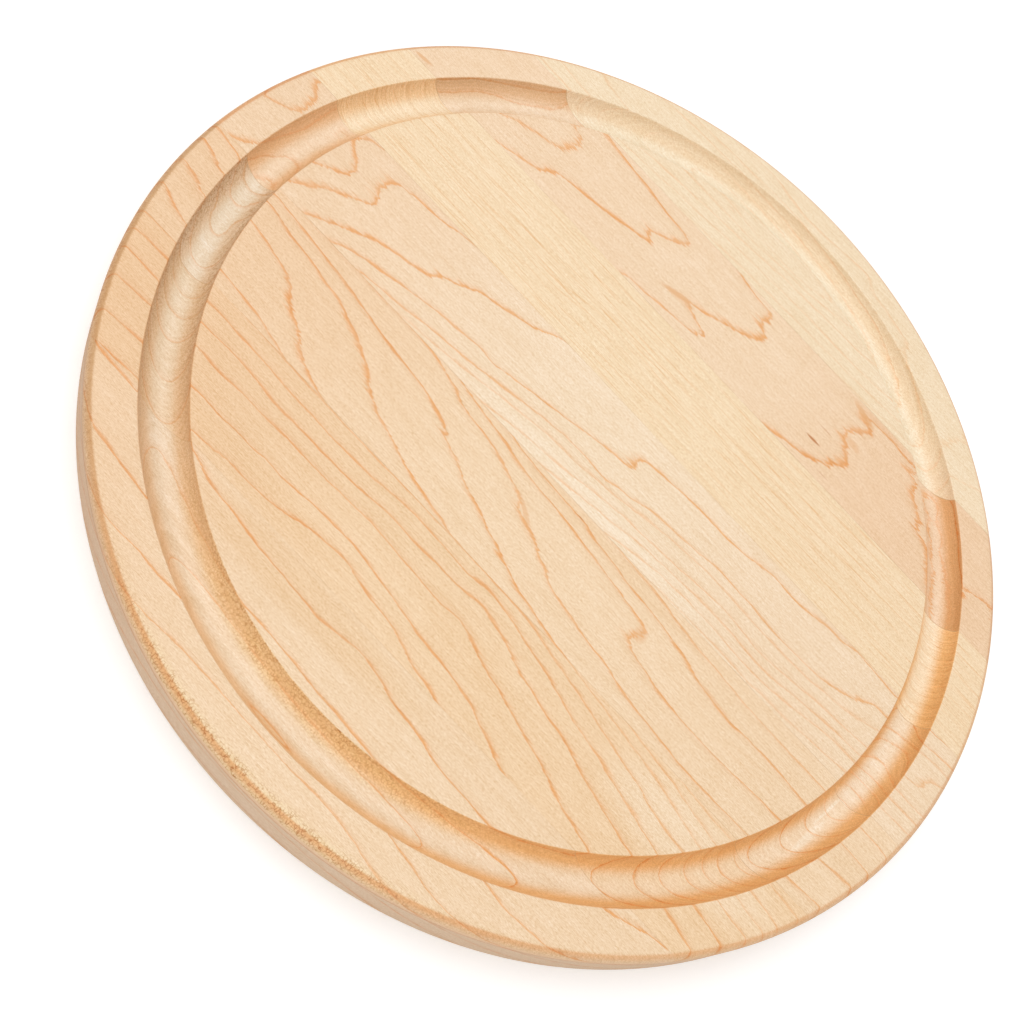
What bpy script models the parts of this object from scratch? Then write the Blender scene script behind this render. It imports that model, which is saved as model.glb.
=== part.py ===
"""A round steak board of seven edge-glued maple staves, with a juice groove cut round its face.

The board lies flat, with its underside at Z = 0 and its centre on the Z axis. The grain of every
stave runs along X, and the staves lie side by side along Y, the back edge of the board at +Y.
"""

import math

import bmesh
import bpy

MM = 0.001
INCH = 25.4 * MM

# The whole board
BOARD_DIAMETER = 13.5 * INCH
BOARD_THICKNESS = 0.75 * INCH
TOP_ROUNDING = 3.2 * MM
UNDERSIDE_EASING = 1.5 * MM

# The juice groove, cut by a round-nosed bit that is led round in a circle
RIM_WIDTH = 15.5 * MM
GROOVE_NOSE_RADIUS = 5 / 16 * INCH
GROOVE_DEPTH = 6.9 * MM
GROOVE_EDGE_SANDING = 0.5 * MM

# The glue-up: where the first joint lies behind the board's centre, and the staves in front of it
BACK_JOINT_Y = 110.4 * MM
SECOND_STAVE_WIDTH = 45.2 * MM
THIRD_STAVE_WIDTH = 41.5 * MM
CENTRE_STAVE_WIDTH = 44.8 * MM
FIFTH_STAVE_WIDTH = 44.7 * MM
SIXTH_STAVE_WIDTH = 44.4 * MM

# How much longer, wider and thicker than the finished board the stock of a stave is
STOCK_ALLOWANCE = 6 * MM

# Facets
TURNS = 192
ROUNDING_STEPS = 5
EASING_STEPS = 3
SANDING_STEPS = 2
GROOVE_STEPS = 12
SHARP_ANGLE = math.radians(35)
MERGE_DISTANCE = 0.01 * MM

# Colour and roughness of each stave, from the back edge to the front edge
STAVE_FINISHES = {
    "stave_1_back_edge": ((0.88, 0.70, 0.49), 0.52),
    "stave_2_flame_grain": ((0.86, 0.63, 0.43), 0.50),
    "stave_3_quarter_sawn": ((0.87, 0.66, 0.44), 0.48),
    "stave_4_centre": ((0.88, 0.67, 0.46), 0.50),
    "stave_5_slanting_grain": ((0.86, 0.61, 0.39), 0.50),
    "stave_6_wavy_grain": ((0.85, 0.60, 0.38), 0.50),
    "stave_7_front_edge": ((0.87, 0.65, 0.43), 0.52),
}


def remove_everything():
    for obj in list(bpy.data.objects):
        bpy.data.objects.remove(obj, do_unlink=True)


def new_collection(name):
    collection = bpy.data.collections.new(name)
    bpy.context.scene.collection.children.link(collection)
    return collection


def new_object(name, mesh, collection):
    obj = bpy.data.objects.new(name, mesh)
    collection.objects.link(obj)
    return obj


def arc(centre, radius, start, end, steps):
    """Points (radius from the axis, height) along an arc, by its angle above the outward level."""
    points = []
    for step in range(steps + 1):
        angle = start + (end - start) * step / steps
        out = centre[0] + radius * math.cos(angle)
        height = centre[1] + radius * math.sin(angle)
        points.append((out, height))
    return points


def joined(*runs):
    """The runs of points as one line, without a point that lies on the one before it."""
    line = []
    for run in runs:
        for point in run:
            if not line or math.dist(line[-1], point) > MERGE_DISTANCE:
                line.append(point)
    return line


def groove_profile():
    """The groove's section from its inner edge to its outer edge, with both edges sanded over.

    The nose of the bit is a circle whose lowest point lies GROOVE_DEPTH under the face. Each edge
    is a small arc that touches both the face and that circle, so the two circles' centres lie one
    radius plus the other apart. A groove deeper than its nose has upright walls above the circle.
    """
    nose = GROOVE_NOSE_RADIUS
    sanding = GROOVE_EDGE_SANDING
    nose_height = BOARD_THICKNESS - GROOVE_DEPTH + nose
    sanding_height = BOARD_THICKNESS - sanding
    drop = max(nose_height - sanding_height, 0)
    reach = math.sqrt((nose + sanding) ** 2 - drop**2)
    lean = math.asin(drop / (nose + sanding))
    centre = BOARD_DIAMETER / 2 - RIM_WIDTH - reach

    inner_edge = (centre - reach, sanding_height)
    outer_edge = (centre + reach, sanding_height)
    return joined(
        arc(inner_edge, sanding, math.pi / 2, lean, SANDING_STEPS),
        arc((centre, nose_height), nose, math.pi + lean, math.tau - lean, GROOVE_STEPS),
        arc(outer_edge, sanding, math.pi - lean, math.pi / 2, SANDING_STEPS),
    )


def board_profile():
    """The whole board's section, from the middle of its face over the rim to the underside."""
    radius = BOARD_DIAMETER / 2
    rounding_centre = (radius - TOP_ROUNDING, BOARD_THICKNESS - TOP_ROUNDING)
    easing_centre = (radius - UNDERSIDE_EASING, UNDERSIDE_EASING)
    return joined(
        [(0, BOARD_THICKNESS)],
        groove_profile(),
        arc(rounding_centre, TOP_ROUNDING, math.pi / 2, 0, ROUNDING_STEPS),
        arc(easing_centre, UNDERSIDE_EASING, 0, -math.pi / 2, EASING_STEPS),
        [(0, 0)],
    )


def turned_board(collection):
    """The finished round form that every stave is cut to: the section turned about the Z axis."""
    mesh = bpy.data.meshes.new("round_form")
    points = [(out, 0, height) for out, height in board_profile()]
    edges = [(index, index + 1) for index in range(len(points) - 1)]
    mesh.from_pydata(points, edges, [])
    form = new_object("round_form", mesh, collection)
    screw = form.modifiers.new("Turning", "SCREW")
    screw.axis = "Z"
    screw.angle = math.tau
    screw.steps = TURNS
    screw.render_steps = TURNS
    screw.use_merge_vertices = True
    screw.merge_threshold = MERGE_DISTANCE
    form.hide_render = True
    form.display_type = "WIRE"
    return form


def joint_places():
    """Where the staves end along Y, from the back of the stock to its front."""
    stock_edge = BOARD_DIAMETER / 2 + STOCK_ALLOWANCE
    places = [stock_edge, BACK_JOINT_Y]
    inner_widths = (
        SECOND_STAVE_WIDTH,
        THIRD_STAVE_WIDTH,
        CENTRE_STAVE_WIDTH,
        FIFTH_STAVE_WIDTH,
        SIXTH_STAVE_WIDTH,
    )
    for width in inner_widths:
        places.append(places[-1] - width)
    places.append(-stock_edge)
    return places


def planed_stock(name, back_y, front_y, collection):
    """A stave as it comes from the planer: a straight board, oversize but at its glued edges."""
    half_length = BOARD_DIAMETER / 2 + STOCK_ALLOWANCE
    body = bmesh.new()
    bmesh.ops.create_cube(body, size=2)
    for vert in body.verts:
        vert.co.x *= half_length
        vert.co.y = back_y if vert.co.y > 0 else front_y
        vert.co.z = BOARD_THICKNESS + STOCK_ALLOWANCE if vert.co.z > 0 else -STOCK_ALLOWANCE
    mesh = bpy.data.meshes.new(name)
    body.to_mesh(mesh)
    body.free()
    return new_object(name, mesh, collection)


def cut_to(stave, form):
    """Cuts the stock to the round form, and shades its turned surfaces smooth."""
    cut = stave.modifiers.new("Round and groove", "BOOLEAN")
    cut.operation = "INTERSECT"
    cut.solver = "EXACT"
    cut.object = form
    evaluated = stave.evaluated_get(bpy.context.evaluated_depsgraph_get())
    mesh = bpy.data.meshes.new_from_object(evaluated)
    mesh.name = stave.name
    stock = stave.data
    stave.modifiers.clear()
    stave.data = mesh
    bpy.data.meshes.remove(stock)
    mesh.shade_smooth()
    mesh.set_sharp_from_angle(angle=SHARP_ANGLE)


def oiled_maple(name, colour, roughness):
    material = bpy.data.materials.new(name)
    material.use_nodes = True
    shader = material.node_tree.nodes["Principled BSDF"]
    shader.inputs["Base Color"].default_value = (*colour, 1)
    shader.inputs["Roughness"].default_value = roughness
    shader.inputs["Metallic"].default_value = 0
    return material


def build_board():
    board = new_collection("steak_board")
    guides = new_collection("guides")
    form = turned_board(guides)
    places = joint_places()
    for index, (name, (colour, roughness)) in enumerate(STAVE_FINISHES.items()):
        stave = planed_stock(name, places[index], places[index + 1], board)
        cut_to(stave, form)
        stave.data.materials.clear()
        stave.data.materials.append(oiled_maple(name, colour, roughness))


remove_everything()
build_board()
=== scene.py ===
# %% [markdown]
# # A round steak board
#
# The real thing is a slab of seven hard maple staves, glued edge to edge, cut round, with a groove
# for the meat juice turned near its rim, then sanded and oiled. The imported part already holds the
# seven staves in their true sizes. This lesson gives each of them a finer turned surface and the
# wood's own figure: growth lines that run through the body of the stave, so that the same line is
# seen on the face, goes down into the groove as an oval and comes up again on the rim.

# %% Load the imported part
import math
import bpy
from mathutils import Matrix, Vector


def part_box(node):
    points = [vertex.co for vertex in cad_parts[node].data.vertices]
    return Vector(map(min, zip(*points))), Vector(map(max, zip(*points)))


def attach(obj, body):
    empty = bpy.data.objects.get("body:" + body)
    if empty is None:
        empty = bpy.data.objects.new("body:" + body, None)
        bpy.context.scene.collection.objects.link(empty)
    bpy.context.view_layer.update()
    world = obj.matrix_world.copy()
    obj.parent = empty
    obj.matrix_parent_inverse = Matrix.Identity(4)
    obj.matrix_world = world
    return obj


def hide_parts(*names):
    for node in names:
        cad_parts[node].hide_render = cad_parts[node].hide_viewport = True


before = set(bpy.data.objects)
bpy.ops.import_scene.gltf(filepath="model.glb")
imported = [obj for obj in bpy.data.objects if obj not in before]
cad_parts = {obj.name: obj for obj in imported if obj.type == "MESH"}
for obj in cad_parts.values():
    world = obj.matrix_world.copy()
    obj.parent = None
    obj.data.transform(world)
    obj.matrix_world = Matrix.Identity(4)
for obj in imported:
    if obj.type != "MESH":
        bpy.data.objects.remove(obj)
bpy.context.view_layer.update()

from types import SimpleNamespace

import bmesh
import bpy
import numpy as np
from mathutils import Matrix, Vector

MM = 0.001

# %% [markdown]
# ## The section that is turned
#
# A round board is simplest to describe by half of its section: a line from the middle of the face,
# down and up through the groove, over the rounded rim and back under to the middle. It could be
# drawn by hand as a curve, but every bend in it is the arc of a real tool, so arcs are worked out
# from the tool's radius. The two edges of the groove are sanded over by a small arc that touches
# both the face and the round nose of the bit.

# %% Sizes of the board, in millimetres
RADIUS = 171.45
THICKNESS = 19.05
TOP_ROUNDING = 3.2
UNDERSIDE_EASING = 1.5
RIM_WIDTH = 15.5
NOSE_RADIUS = 7.9375
GROOVE_DEPTH = 6.9
EDGE_SANDING = 0.5

NOSE_HEIGHT = THICKNESS - GROOVE_DEPTH + NOSE_RADIUS
SANDING_HEIGHT = THICKNESS - EDGE_SANDING
SANDING_DROP = NOSE_HEIGHT - SANDING_HEIGHT
GROOVE_REACH = math.sqrt((NOSE_RADIUS + EDGE_SANDING) ** 2 - SANDING_DROP**2)
GROOVE_LEAN = math.asin(SANDING_DROP / (NOSE_RADIUS + EDGE_SANDING))
GROOVE_MIDDLE = RADIUS - RIM_WIDTH - GROOVE_REACH
print("groove middle at radius", round(GROOVE_MIDDLE, 3), "mm, half width", round(GROOVE_REACH, 3))


# %% The section as arrays of radius and height
# The distance between points on each flat run, in millimetres, and the number of steps round each arc.
FACE_STEP, RIM_STEP, SIDE_STEP, UNDERSIDE_STEP = 2.0, 1.6, 2.0, 4.0
GROOVE_STEPS, SANDED_STEPS, ROUNDING_STEPS, EASING_STEPS = 30, 4, 8, 5


def arc(middle, radius, start, end, steps):
    """Radius = middle + radius * cos(angle), height = middle + radius * sin(angle)."""
    angle = np.linspace(start, end, steps + 1)
    out = middle[0] + radius * np.cos(angle)
    height = middle[1] + radius * np.sin(angle)
    return np.stack([out, height], axis=1)


def straight(start, end, step):
    """Points spaced evenly, about one step apart, on the straight line between two points."""
    start, end = np.array(start, float), np.array(end, float)
    count = max(int(round(np.linalg.norm(end - start) / step)), 1)
    share = np.linspace(0, 1, count + 1)[:, None]
    return start + (end - start) * share


def board_section():
    """The runs of the section joined end to end, each but the first leaving out its first point."""
    inner, outer = GROOVE_MIDDLE - GROOVE_REACH, GROOVE_MIDDLE + GROOVE_REACH
    upright, lean = math.pi / 2, GROOVE_LEAN
    shoulder, foot = RADIUS - TOP_ROUNDING, RADIUS - UNDERSIDE_EASING
    runs = [
        straight((0, THICKNESS), (inner, THICKNESS), FACE_STEP),
        arc((inner, SANDING_HEIGHT), EDGE_SANDING, upright, lean, SANDED_STEPS),
        arc((GROOVE_MIDDLE, NOSE_HEIGHT), NOSE_RADIUS, math.pi + lean, math.tau - lean, GROOVE_STEPS),
        arc((outer, SANDING_HEIGHT), EDGE_SANDING, math.pi - lean, upright, SANDED_STEPS),
        straight((outer, THICKNESS), (shoulder, THICKNESS), RIM_STEP),
        arc((shoulder, THICKNESS - TOP_ROUNDING), TOP_ROUNDING, upright, 0, ROUNDING_STEPS),
        straight((RADIUS, THICKNESS - TOP_ROUNDING), (RADIUS, UNDERSIDE_EASING), SIDE_STEP),
        arc((foot, UNDERSIDE_EASING), UNDERSIDE_EASING, 0, -upright, EASING_STEPS),
        straight((foot, 0), (0, 0), UNDERSIDE_STEP),
    ]
    return np.concatenate([runs[0]] + [run[1:] for run in runs[1:]])


section = board_section()
print("section points:", len(section), "lowest point of the groove:", round(THICKNESS - GROOVE_DEPTH, 2))

# %% [markdown]
# ## Turning the section
#
# Turning is what a lathe or a router on a pivot does: every point of the section runs round the
# axis. As a grid, one parameter is the point of the section and the other the angle of the turn.
# The two ends of the section lie on the axis, so there the grid closes to a single point.

# %% The turned grid
TURNS = 720


def turned_grid(points, turns):
    """x = radius * cos(turn), y = radius * sin(turn), z = height, for every point and turn."""
    turn = np.linspace(0, math.tau, turns, endpoint=False)
    ring = points[1:-1]
    x = ring[:, :1] * np.cos(turn)
    y = ring[:, :1] * np.sin(turn)
    z = np.broadcast_to(ring[:, 1:], x.shape)
    body = np.stack([x, y, z], axis=-1).reshape(-1, 3)
    poles = np.array([[0, 0, points[0, 1]], [0, 0, points[-1, 1]]])
    return np.vstack([body, poles])


def turned_faces(rings, turns):
    """Quads between neighbouring rings, and triangles round the two points on the axis."""
    here = np.arange(rings * turns).reshape(rings, turns)
    after = np.roll(here, -1, axis=1)
    quads = np.stack([here[:-1], here[1:], after[1:], after[:-1]], axis=-1).reshape(-1, 4)
    top, bottom = rings * turns, rings * turns + 1
    top_fan = np.stack([np.full(turns, top), here[0], after[0]], axis=-1)
    bottom_fan = np.stack([np.full(turns, bottom), after[-1], here[-1]], axis=-1)
    return quads, np.vstack([top_fan, bottom_fan])


grid = turned_grid(section, TURNS)
quads, fans = turned_faces(len(section) - 2, TURNS)
print("grid points:", len(grid), "quads:", len(quads))

# %% [markdown]
# ## Sawing the turned form into staves
#
# On the bench the staves are glued first and turned together, so each finished stave is what lies
# between two joint planes of the turned form. A Boolean could cut it, but two flat cuts are all it
# takes: the faces near a stave are picked out, bisected at both joints, and each cut is closed with
# one flat face.

# %% Where the joints lie, in millimetres along Y
JOINTS = (110.4, 65.2, 23.7, -21.1, -65.8, -110.2)
STAVES = (
    "stave_1_back_edge",
    "stave_2_flame_grain",
    "stave_3_quarter_sawn",
    "stave_4_centre",
    "stave_5_slanting_grain",
    "stave_6_wavy_grain",
    "stave_7_front_edge",
)
PAST_THE_RIM = 1.0
EDGES = (RADIUS + PAST_THE_RIM, *JOINTS, -RADIUS - PAST_THE_RIM)
for name, back, front in zip(STAVES, EDGES[:-1], EDGES[1:]):
    low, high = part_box(name)
    print(name, "lies from", round(low[1] / MM, 2), "to", round(high[1] / MM, 2))


# %% Cutting the turned form at a joint
CUT_TOLERANCE = 1e-9


def near_faces(faces, back, front):
    """The faces with any corner between the two joint planes, or with corners on both sides."""
    y = grid[faces][:, :, 1]
    return faces[(y.max(axis=1) > front) & (y.min(axis=1) < back)]


def cut_plane(form, y, keep_front):
    """Cuts the form by the plane at y, drops one side and closes the cut with one face."""
    everything = form.verts[:] + form.edges[:] + form.faces[:]
    cut = bmesh.ops.bisect_plane(
        form,
        geom=everything,
        dist=CUT_TOLERANCE,
        plane_co=(0, y * MM, 0),
        plane_no=(0, 1, 0),
        clear_outer=keep_front,
        clear_inner=not keep_front,
    )
    edges = [item for item in cut["geom_cut"] if isinstance(item, bmesh.types.BMEdge)]
    bmesh.ops.contextual_create(form, geom=edges)


print("joints to cut at:", len(JOINTS))

# %% The seven staves
# Two faces that meet at more than this angle keep a crisp edge between them.
SHARP_ANGLE = math.radians(40)


def stave_mesh(name, back, front):
    """The turned form between two joints, as a closed mesh in metres with faces outward."""
    chosen = near_faces(quads, back, front), near_faces(fans, back, front)
    used, index = np.unique(np.concatenate([part.ravel() for part in chosen]), return_inverse=True)
    split = chosen[0].size
    faces = index[:split].reshape(-1, 4).tolist() + index[split:].reshape(-1, 3).tolist()
    mesh = bpy.data.meshes.new(name + "_wood")
    mesh.from_pydata((grid[used] * MM).tolist(), [], faces)
    form = bmesh.new()
    form.from_mesh(mesh)
    if back < RADIUS:
        cut_plane(form, back, True)
    if front > -RADIUS:
        cut_plane(form, front, False)
    bmesh.ops.recalc_face_normals(form, faces=form.faces[:])
    form.to_mesh(mesh)
    form.free()
    mesh.shade_smooth()
    mesh.set_sharp_from_angle(angle=SHARP_ANGLE)
    return mesh


pieces = {}
for name, back, front in zip(STAVES, EDGES[:-1], EDGES[1:]):
    piece = bpy.data.objects.new(name + "_wood", stave_mesh(name, back, front))
    bpy.context.scene.collection.objects.link(piece)
    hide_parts(name)
    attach(piece, "root")
    pieces[name] = piece
    print(piece.name, "faces:", len(piece.data.polygons))

# %% [markdown]
# ## Growth lines that go through the wood
#
# A tree lays down one ring a year, and each ring ends in a thin line of dark late wood. A stave is
# a slice of those nested shells, so the same shell is met on the face as a slanting or flame-shaped
# line, in the groove as an oval, and on the rim as a line that runs down it. Painting each of these
# by hand would never join up. Here the whole stave gets one number at each point, its ring, which is
# a whole number exactly on a growth line. The lines on the face are drawn as a few points each, a
# smooth sheet is laid through their numbers, and the number grows or shrinks evenly with depth. Every
# other surface then gets its figure by itself.

# %% A store for the growth lines of each stave
# Each line has its ring, how dark it is from 0 to 1, and points along it in millimetres. A line with
# darkness 0 isn't seen and only guides the sheet.
GROWTH_LINES = {}
print("staves to draw lines for:", len(STAVES))

# %% [markdown]
# The back stave is flat-sawn: its face just grazes the shells, so they show as long, pale, nested
# ovals. The board's rim and groove cut the ovals off.

# %% Growth lines of stave 1, back edge
GROWTH_LINES["stave_1_back_edge"] = [
    (1, 0.45, [(-30, 133), (-12, 131.8), (0, 131.8), (12, 133), (19, 135.5), (20, 138.5), (12, 142),
        (-5, 145), (-30, 147)]),
    (2, 0.55, [(-75, 128), (-42, 127.8), (-15, 128), (0, 129.6), (20, 131.6), (33, 134.3), (36.5, 137),
        (33, 141), (20, 146), (0, 149), (-30, 151), (-70, 149)]),
    (3, 0.6, [(-112, 118), (-80, 117.5), (-50, 121), (-20, 124), (0, 126.2), (25, 127.6), (45, 128.6),
        (53, 131), (54, 136), (46, 142), (30, 149), (10, 153.5), (-14, 156), (-40, 155), (-70, 153)]),
    (4, 0.6, [(-118, 112), (-90, 112), (-75, 113.5), (-50, 116), (-25, 118.4), (0, 119.9), (30, 121),
        (55, 121.6), (67, 123.5), (71, 129), (68, 136), (58, 145), (54, 152), (30, 158), (24, 163),
        (-12, 160), (-28, 163)]),
    (5, 0.5, [(-40, 110.8), (-10, 113.6), (20, 115), (50, 116), (76, 118.6), (90, 124), (94, 131),
        (97, 136.5)]),
    (6, 0.45, [(40, 110.6), (70, 112.6), (95, 116), (112, 122.5)]),
]

# %% [markdown]
# The next stave is flat-sawn too, but its shells are wavy, and the face meets them as flames: few
# strong lines that run back and forth across the stave.

# %% Growth lines of stave 2, flame grain
GROWTH_LINES["stave_2_flame_grain"] = [
    (1, 0.8, [(-135, 67), (-129, 71), (-125, 76), (-122, 81), (-119, 81), (-117, 76.5), (-112, 79),
        (-105, 82.5), (-97, 85), (-93, 87), (-90.3, 90), (-90, 95), (-91.5, 98.5), (-96, 100.5),
        (-95.5, 103.5), (-98, 107), (-102, 109.5)]),
    (2, 0.95, [(-108, 65.3), (-98, 69), (-92, 71), (-88, 74.5), (-85, 77), (-80, 78.3), (-70, 80),
        (-60, 82.3), (-50, 85), (-44, 86.6), (-45.5, 88.5), (-46.6, 91), (-40, 95), (-36, 98), (-34, 101.5),
        (-35.5, 103.2), (-40, 103.8), (-50, 104.6), (-60, 106.5), (-70, 107.6), (-80, 109), (-87, 110.3)]),
    (3, 0.9, [(-43, 65.4), (-40, 66.7), (-30, 67.6), (-20, 69.5), (-12, 70.3), (-6, 71.6), (-3, 74),
        (-6, 76), (-12, 77.6), (-16, 79.3), (-17, 80.3), (-12, 81.8), (-5, 84.6), (0, 87), (5, 89.2),
        (10, 91.6), (12.6, 94), (12.5, 96.5), (10.5, 98.6), (7.6, 100.3), (9, 104), (9.6, 107), (5, 108.2),
        (0, 108.3), (-8, 109.8)]),
    (4, 1, [(38, 65.4), (45, 67.4), (50, 68.5), (55, 70), (60, 72.5), (64, 75), (65.5, 77.5), (68, 80),
        (68, 83), (65, 86), (63, 89), (61.5, 92), (61.5, 95), (63.5, 98), (66.5, 100), (67.5, 102.5),
        (64, 104.5), (61, 106.2), (66, 107.6), (78, 107.3), (90, 106.8)]),
    (5, 0.9, [(126, 65.5), (121, 71.5), (116.5, 78), (112.6, 82.1), (106.5, 84.2), (103.5, 87.5),
        (102, 91.5), (97, 94.5), (94.5, 98), (93.5, 102), (90.5, 105.5)]),
    (6, 0.9, [(151, 80.3), (147.5, 82.7), (145, 84.8), (140, 84.4), (136, 83), (133, 82)]),
    (4.8, 0, [(106, 76), (112, 69)]),
    (5.35, 0, [(104, 100), (100, 108.5)]),
    (5.6, 0, [(152, 88), (140, 92), (130, 102), (120, 108)]),
    (5.68, 0, [(107, 106.5), (115, 97), (123, 86), (127, 80)]),
    (5.9, 0, [(133, 71)]),
    (6.35, 0, [(155, 73), (147, 68), (142, 75), (143, 66)]),
]

# %% [markdown]
# Here the shells stand upright in the stave, as in a quarter-sawn board, so their lines run straight
# and close together.

# %% Growth lines of stave 3, quarter sawn
GROWTH_LINES["stave_3_quarter_sawn"] = [
    (1, 0.3, [(-130, 26.5), (-60, 26), (0, 25.5), (60, 27), (140, 29)]),
    (2, 0.45, [(-133, 31), (-70, 30.5), (0, 30.5), (60, 31.5), (140, 33.5)]),
    (3, 0.35, [(-150, 34.5), (-80, 34), (0, 35.3), (60, 36.5), (140, 38.5)]),
    (4, 0.5, [(-150, 38.6), (-80, 39), (-40, 40.5), (0, 40.2), (60, 40.5), (140, 43)]),
    (5, 0.8, [(-150, 42), (-90, 41.5), (-50, 41.6), (0, 43.7), (20, 44.5), (40, 45.5), (60, 46.6),
        (90, 48.3), (130, 49.8), (150, 50.5)]),
    (6, 0.55, [(-150, 46), (-90, 46.5), (-50, 47.3), (0, 49), (35, 50), (70, 51), (140, 54)]),
    (7, 0.4, [(-150, 51.5), (-90, 52), (-30, 52.4), (0, 53.2), (60, 54), (140, 57)]),
    (8, 0.55, [(-150, 56), (-90, 55.8), (-50, 56), (0, 57.4), (60, 58.4), (140, 60.5)]),
    (9, 0.4, [(-150, 61), (-80, 60.5), (0, 62.2), (60, 63), (140, 65)]),
]

# %% [markdown]
# The stave under the board's centre was cut where the shells turn from flat to upright: flames on the
# left, and a fan of close lines on the right.

# %% Growth lines of stave 4, centre
GROWTH_LINES["stave_4_centre"] = [
    (1, 0.9, [(-164, 23), (-161.5, 20), (-158.5, 17), (-158, 12), (-158.2, 8), (-161, 5.5), (-165, 3),
        (-169, 1.5)]),
    (2, 0.95, [(-131, 23.6), (-136, 22), (-138, 19.5), (-136.5, 14.5), (-132, 11.5), (-129.6, 8.5),
        (-129, 6), (-130.5, 3.2), (-135, 0.5), (-139, -2.5), (-147, -9), (-155, -14), (-161, -20)]),
    (3, 0.95, [(-84, 23.6), (-90, 22.8), (-95, 21), (-103, 20), (-110, 19), (-115, 18), (-118, 15.5),
        (-119, 12), (-118.3, 9), (-116, 6), (-115.6, 4), (-117, 2), (-120, 0), (-123, -3), (-128, -5.5),
        (-130.7, -7.5), (-134, -12), (-138, -14.8), (-143, -20)]),
    (4, 1, [(-36, 23.7), (-40, 21.5), (-46, 18), (-52, 16), (-60, 13.5), (-68, 11), (-72, 8.5), (-75, 6.5),
        (-79, 4.3), (-82, 2), (-84, -0.3), (-90, -2.5), (-100, -5), (-107, -8), (-113, -12), (-120, -16),
        (-127, -21)]),
    (5, 1, [(-113, -20.5), (-108, -17.5), (-100, -15), (-90, -12.5), (-80, -10), (-70, -8), (-60, -6.7),
        (-53, -5.5), (-45, -6), (-39, -4.5), (-33, -3.5), (-25, -1.5), (-15, 0.5), (-8, 2.3), (0, 4),
        (6, 5.1), (11, 5.6), (13.4, 8), (14, 12), (18, 13.5), (25, 14.5), (35, 15.5), (45, 16), (53, 15.7),
        (62, 16.5), (70, 18.3), (78, 19.5), (85, 18.7), (92, 19.5), (98, 20.5), (104, 21.7), (110, 21.6),
        (116, 23.6)]),
    (6, 0.78, [(-100, -20.6), (-90, -19), (-80, -17.5), (-70, -15.5), (-60, -14), (-50, -12.5),
        (-40, -10.5), (-30, -8.5), (-20, -6.5), (-10, -5), (0, -4.7), (9, -5.2), (15, -3.7), (20, -3),
        (26, -1), (31, 0), (40, 1), (50, 2.2), (58, 3.6), (66, 3.5), (75, 3.3), (82, 2.7), (90, 2.3),
        (100, 2.7), (110, 3.5), (120, 5.8), (125, 8), (130, 11.5), (134, 12.7), (138, 13), (147, 15),
        (156, 17), (168, 18)]),
    (7, 0.45, [(-78, -20.5), (-65, -18.7), (-55, -17.2), (-45, -15.5), (-35, -13.3), (-25, -11.5),
        (-15, -10), (0, -9), (10, -7.5), (20, -6.2), (30, -4.2), (40, -2.5), (50, -1.3), (60, -0.6),
        (75, -1), (90, -1.3), (105, -0.7), (115, 0.5), (125, 1.8), (133, 4.3), (139, 6.3), (147, 10),
        (156, 13.4), (168, 14)]),
    (8, 0.55, [(-38, -20.8), (-30, -19), (-20, -17.2), (-10, -16), (0, -14.7), (10, -12.5), (20, -10.8),
        (30, -10), (40, -9.3), (50, -8.3), (60, -7.2), (70, -6.4), (80, -7.2), (88, -8), (97, -7.3),
        (110, -5.5), (120, -4.3), (130, -3.5), (139, -2.3), (150, 0.3), (160, 1.6), (163, 5), (168, 9)]),
    (9, 0.55, [(-8, -20.8), (0, -19.3), (10, -17.3), (20, -16), (30, -14), (40, -12.7), (50, -12),
        (60, -11.2), (70, -11), (80, -11.2), (92, -12), (100, -11.3), (108, -10), (120, -8.5), (130, -7.3),
        (139, -6.8), (155, -5.6), (168, -5.5)]),
    (10, 0.5, [(23, -20.8), (30, -19), (40, -17), (50, -15.7), (60, -15.2), (70, -15), (80, -15.7),
        (90, -16), (100, -15.5), (110, -14), (120, -12), (130, -10.8), (139, -10.6), (155, -10.1),
        (168, -10)]),
    (11, 0.45, [(50, -20.8), (60, -20.2), (70, -19.8), (80, -19.7), (90, -20), (100, -19.5), (110, -19),
        (120, -18), (130, -17), (139, -16.3), (155, -15.6), (168, -15)]),
    (5.5, 0, [(88, 10)]),
]

# %% [markdown]
# In this stave the grain isn't parallel to the edges. Each line enters on one edge, slants across and
# leaves on the other.

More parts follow.
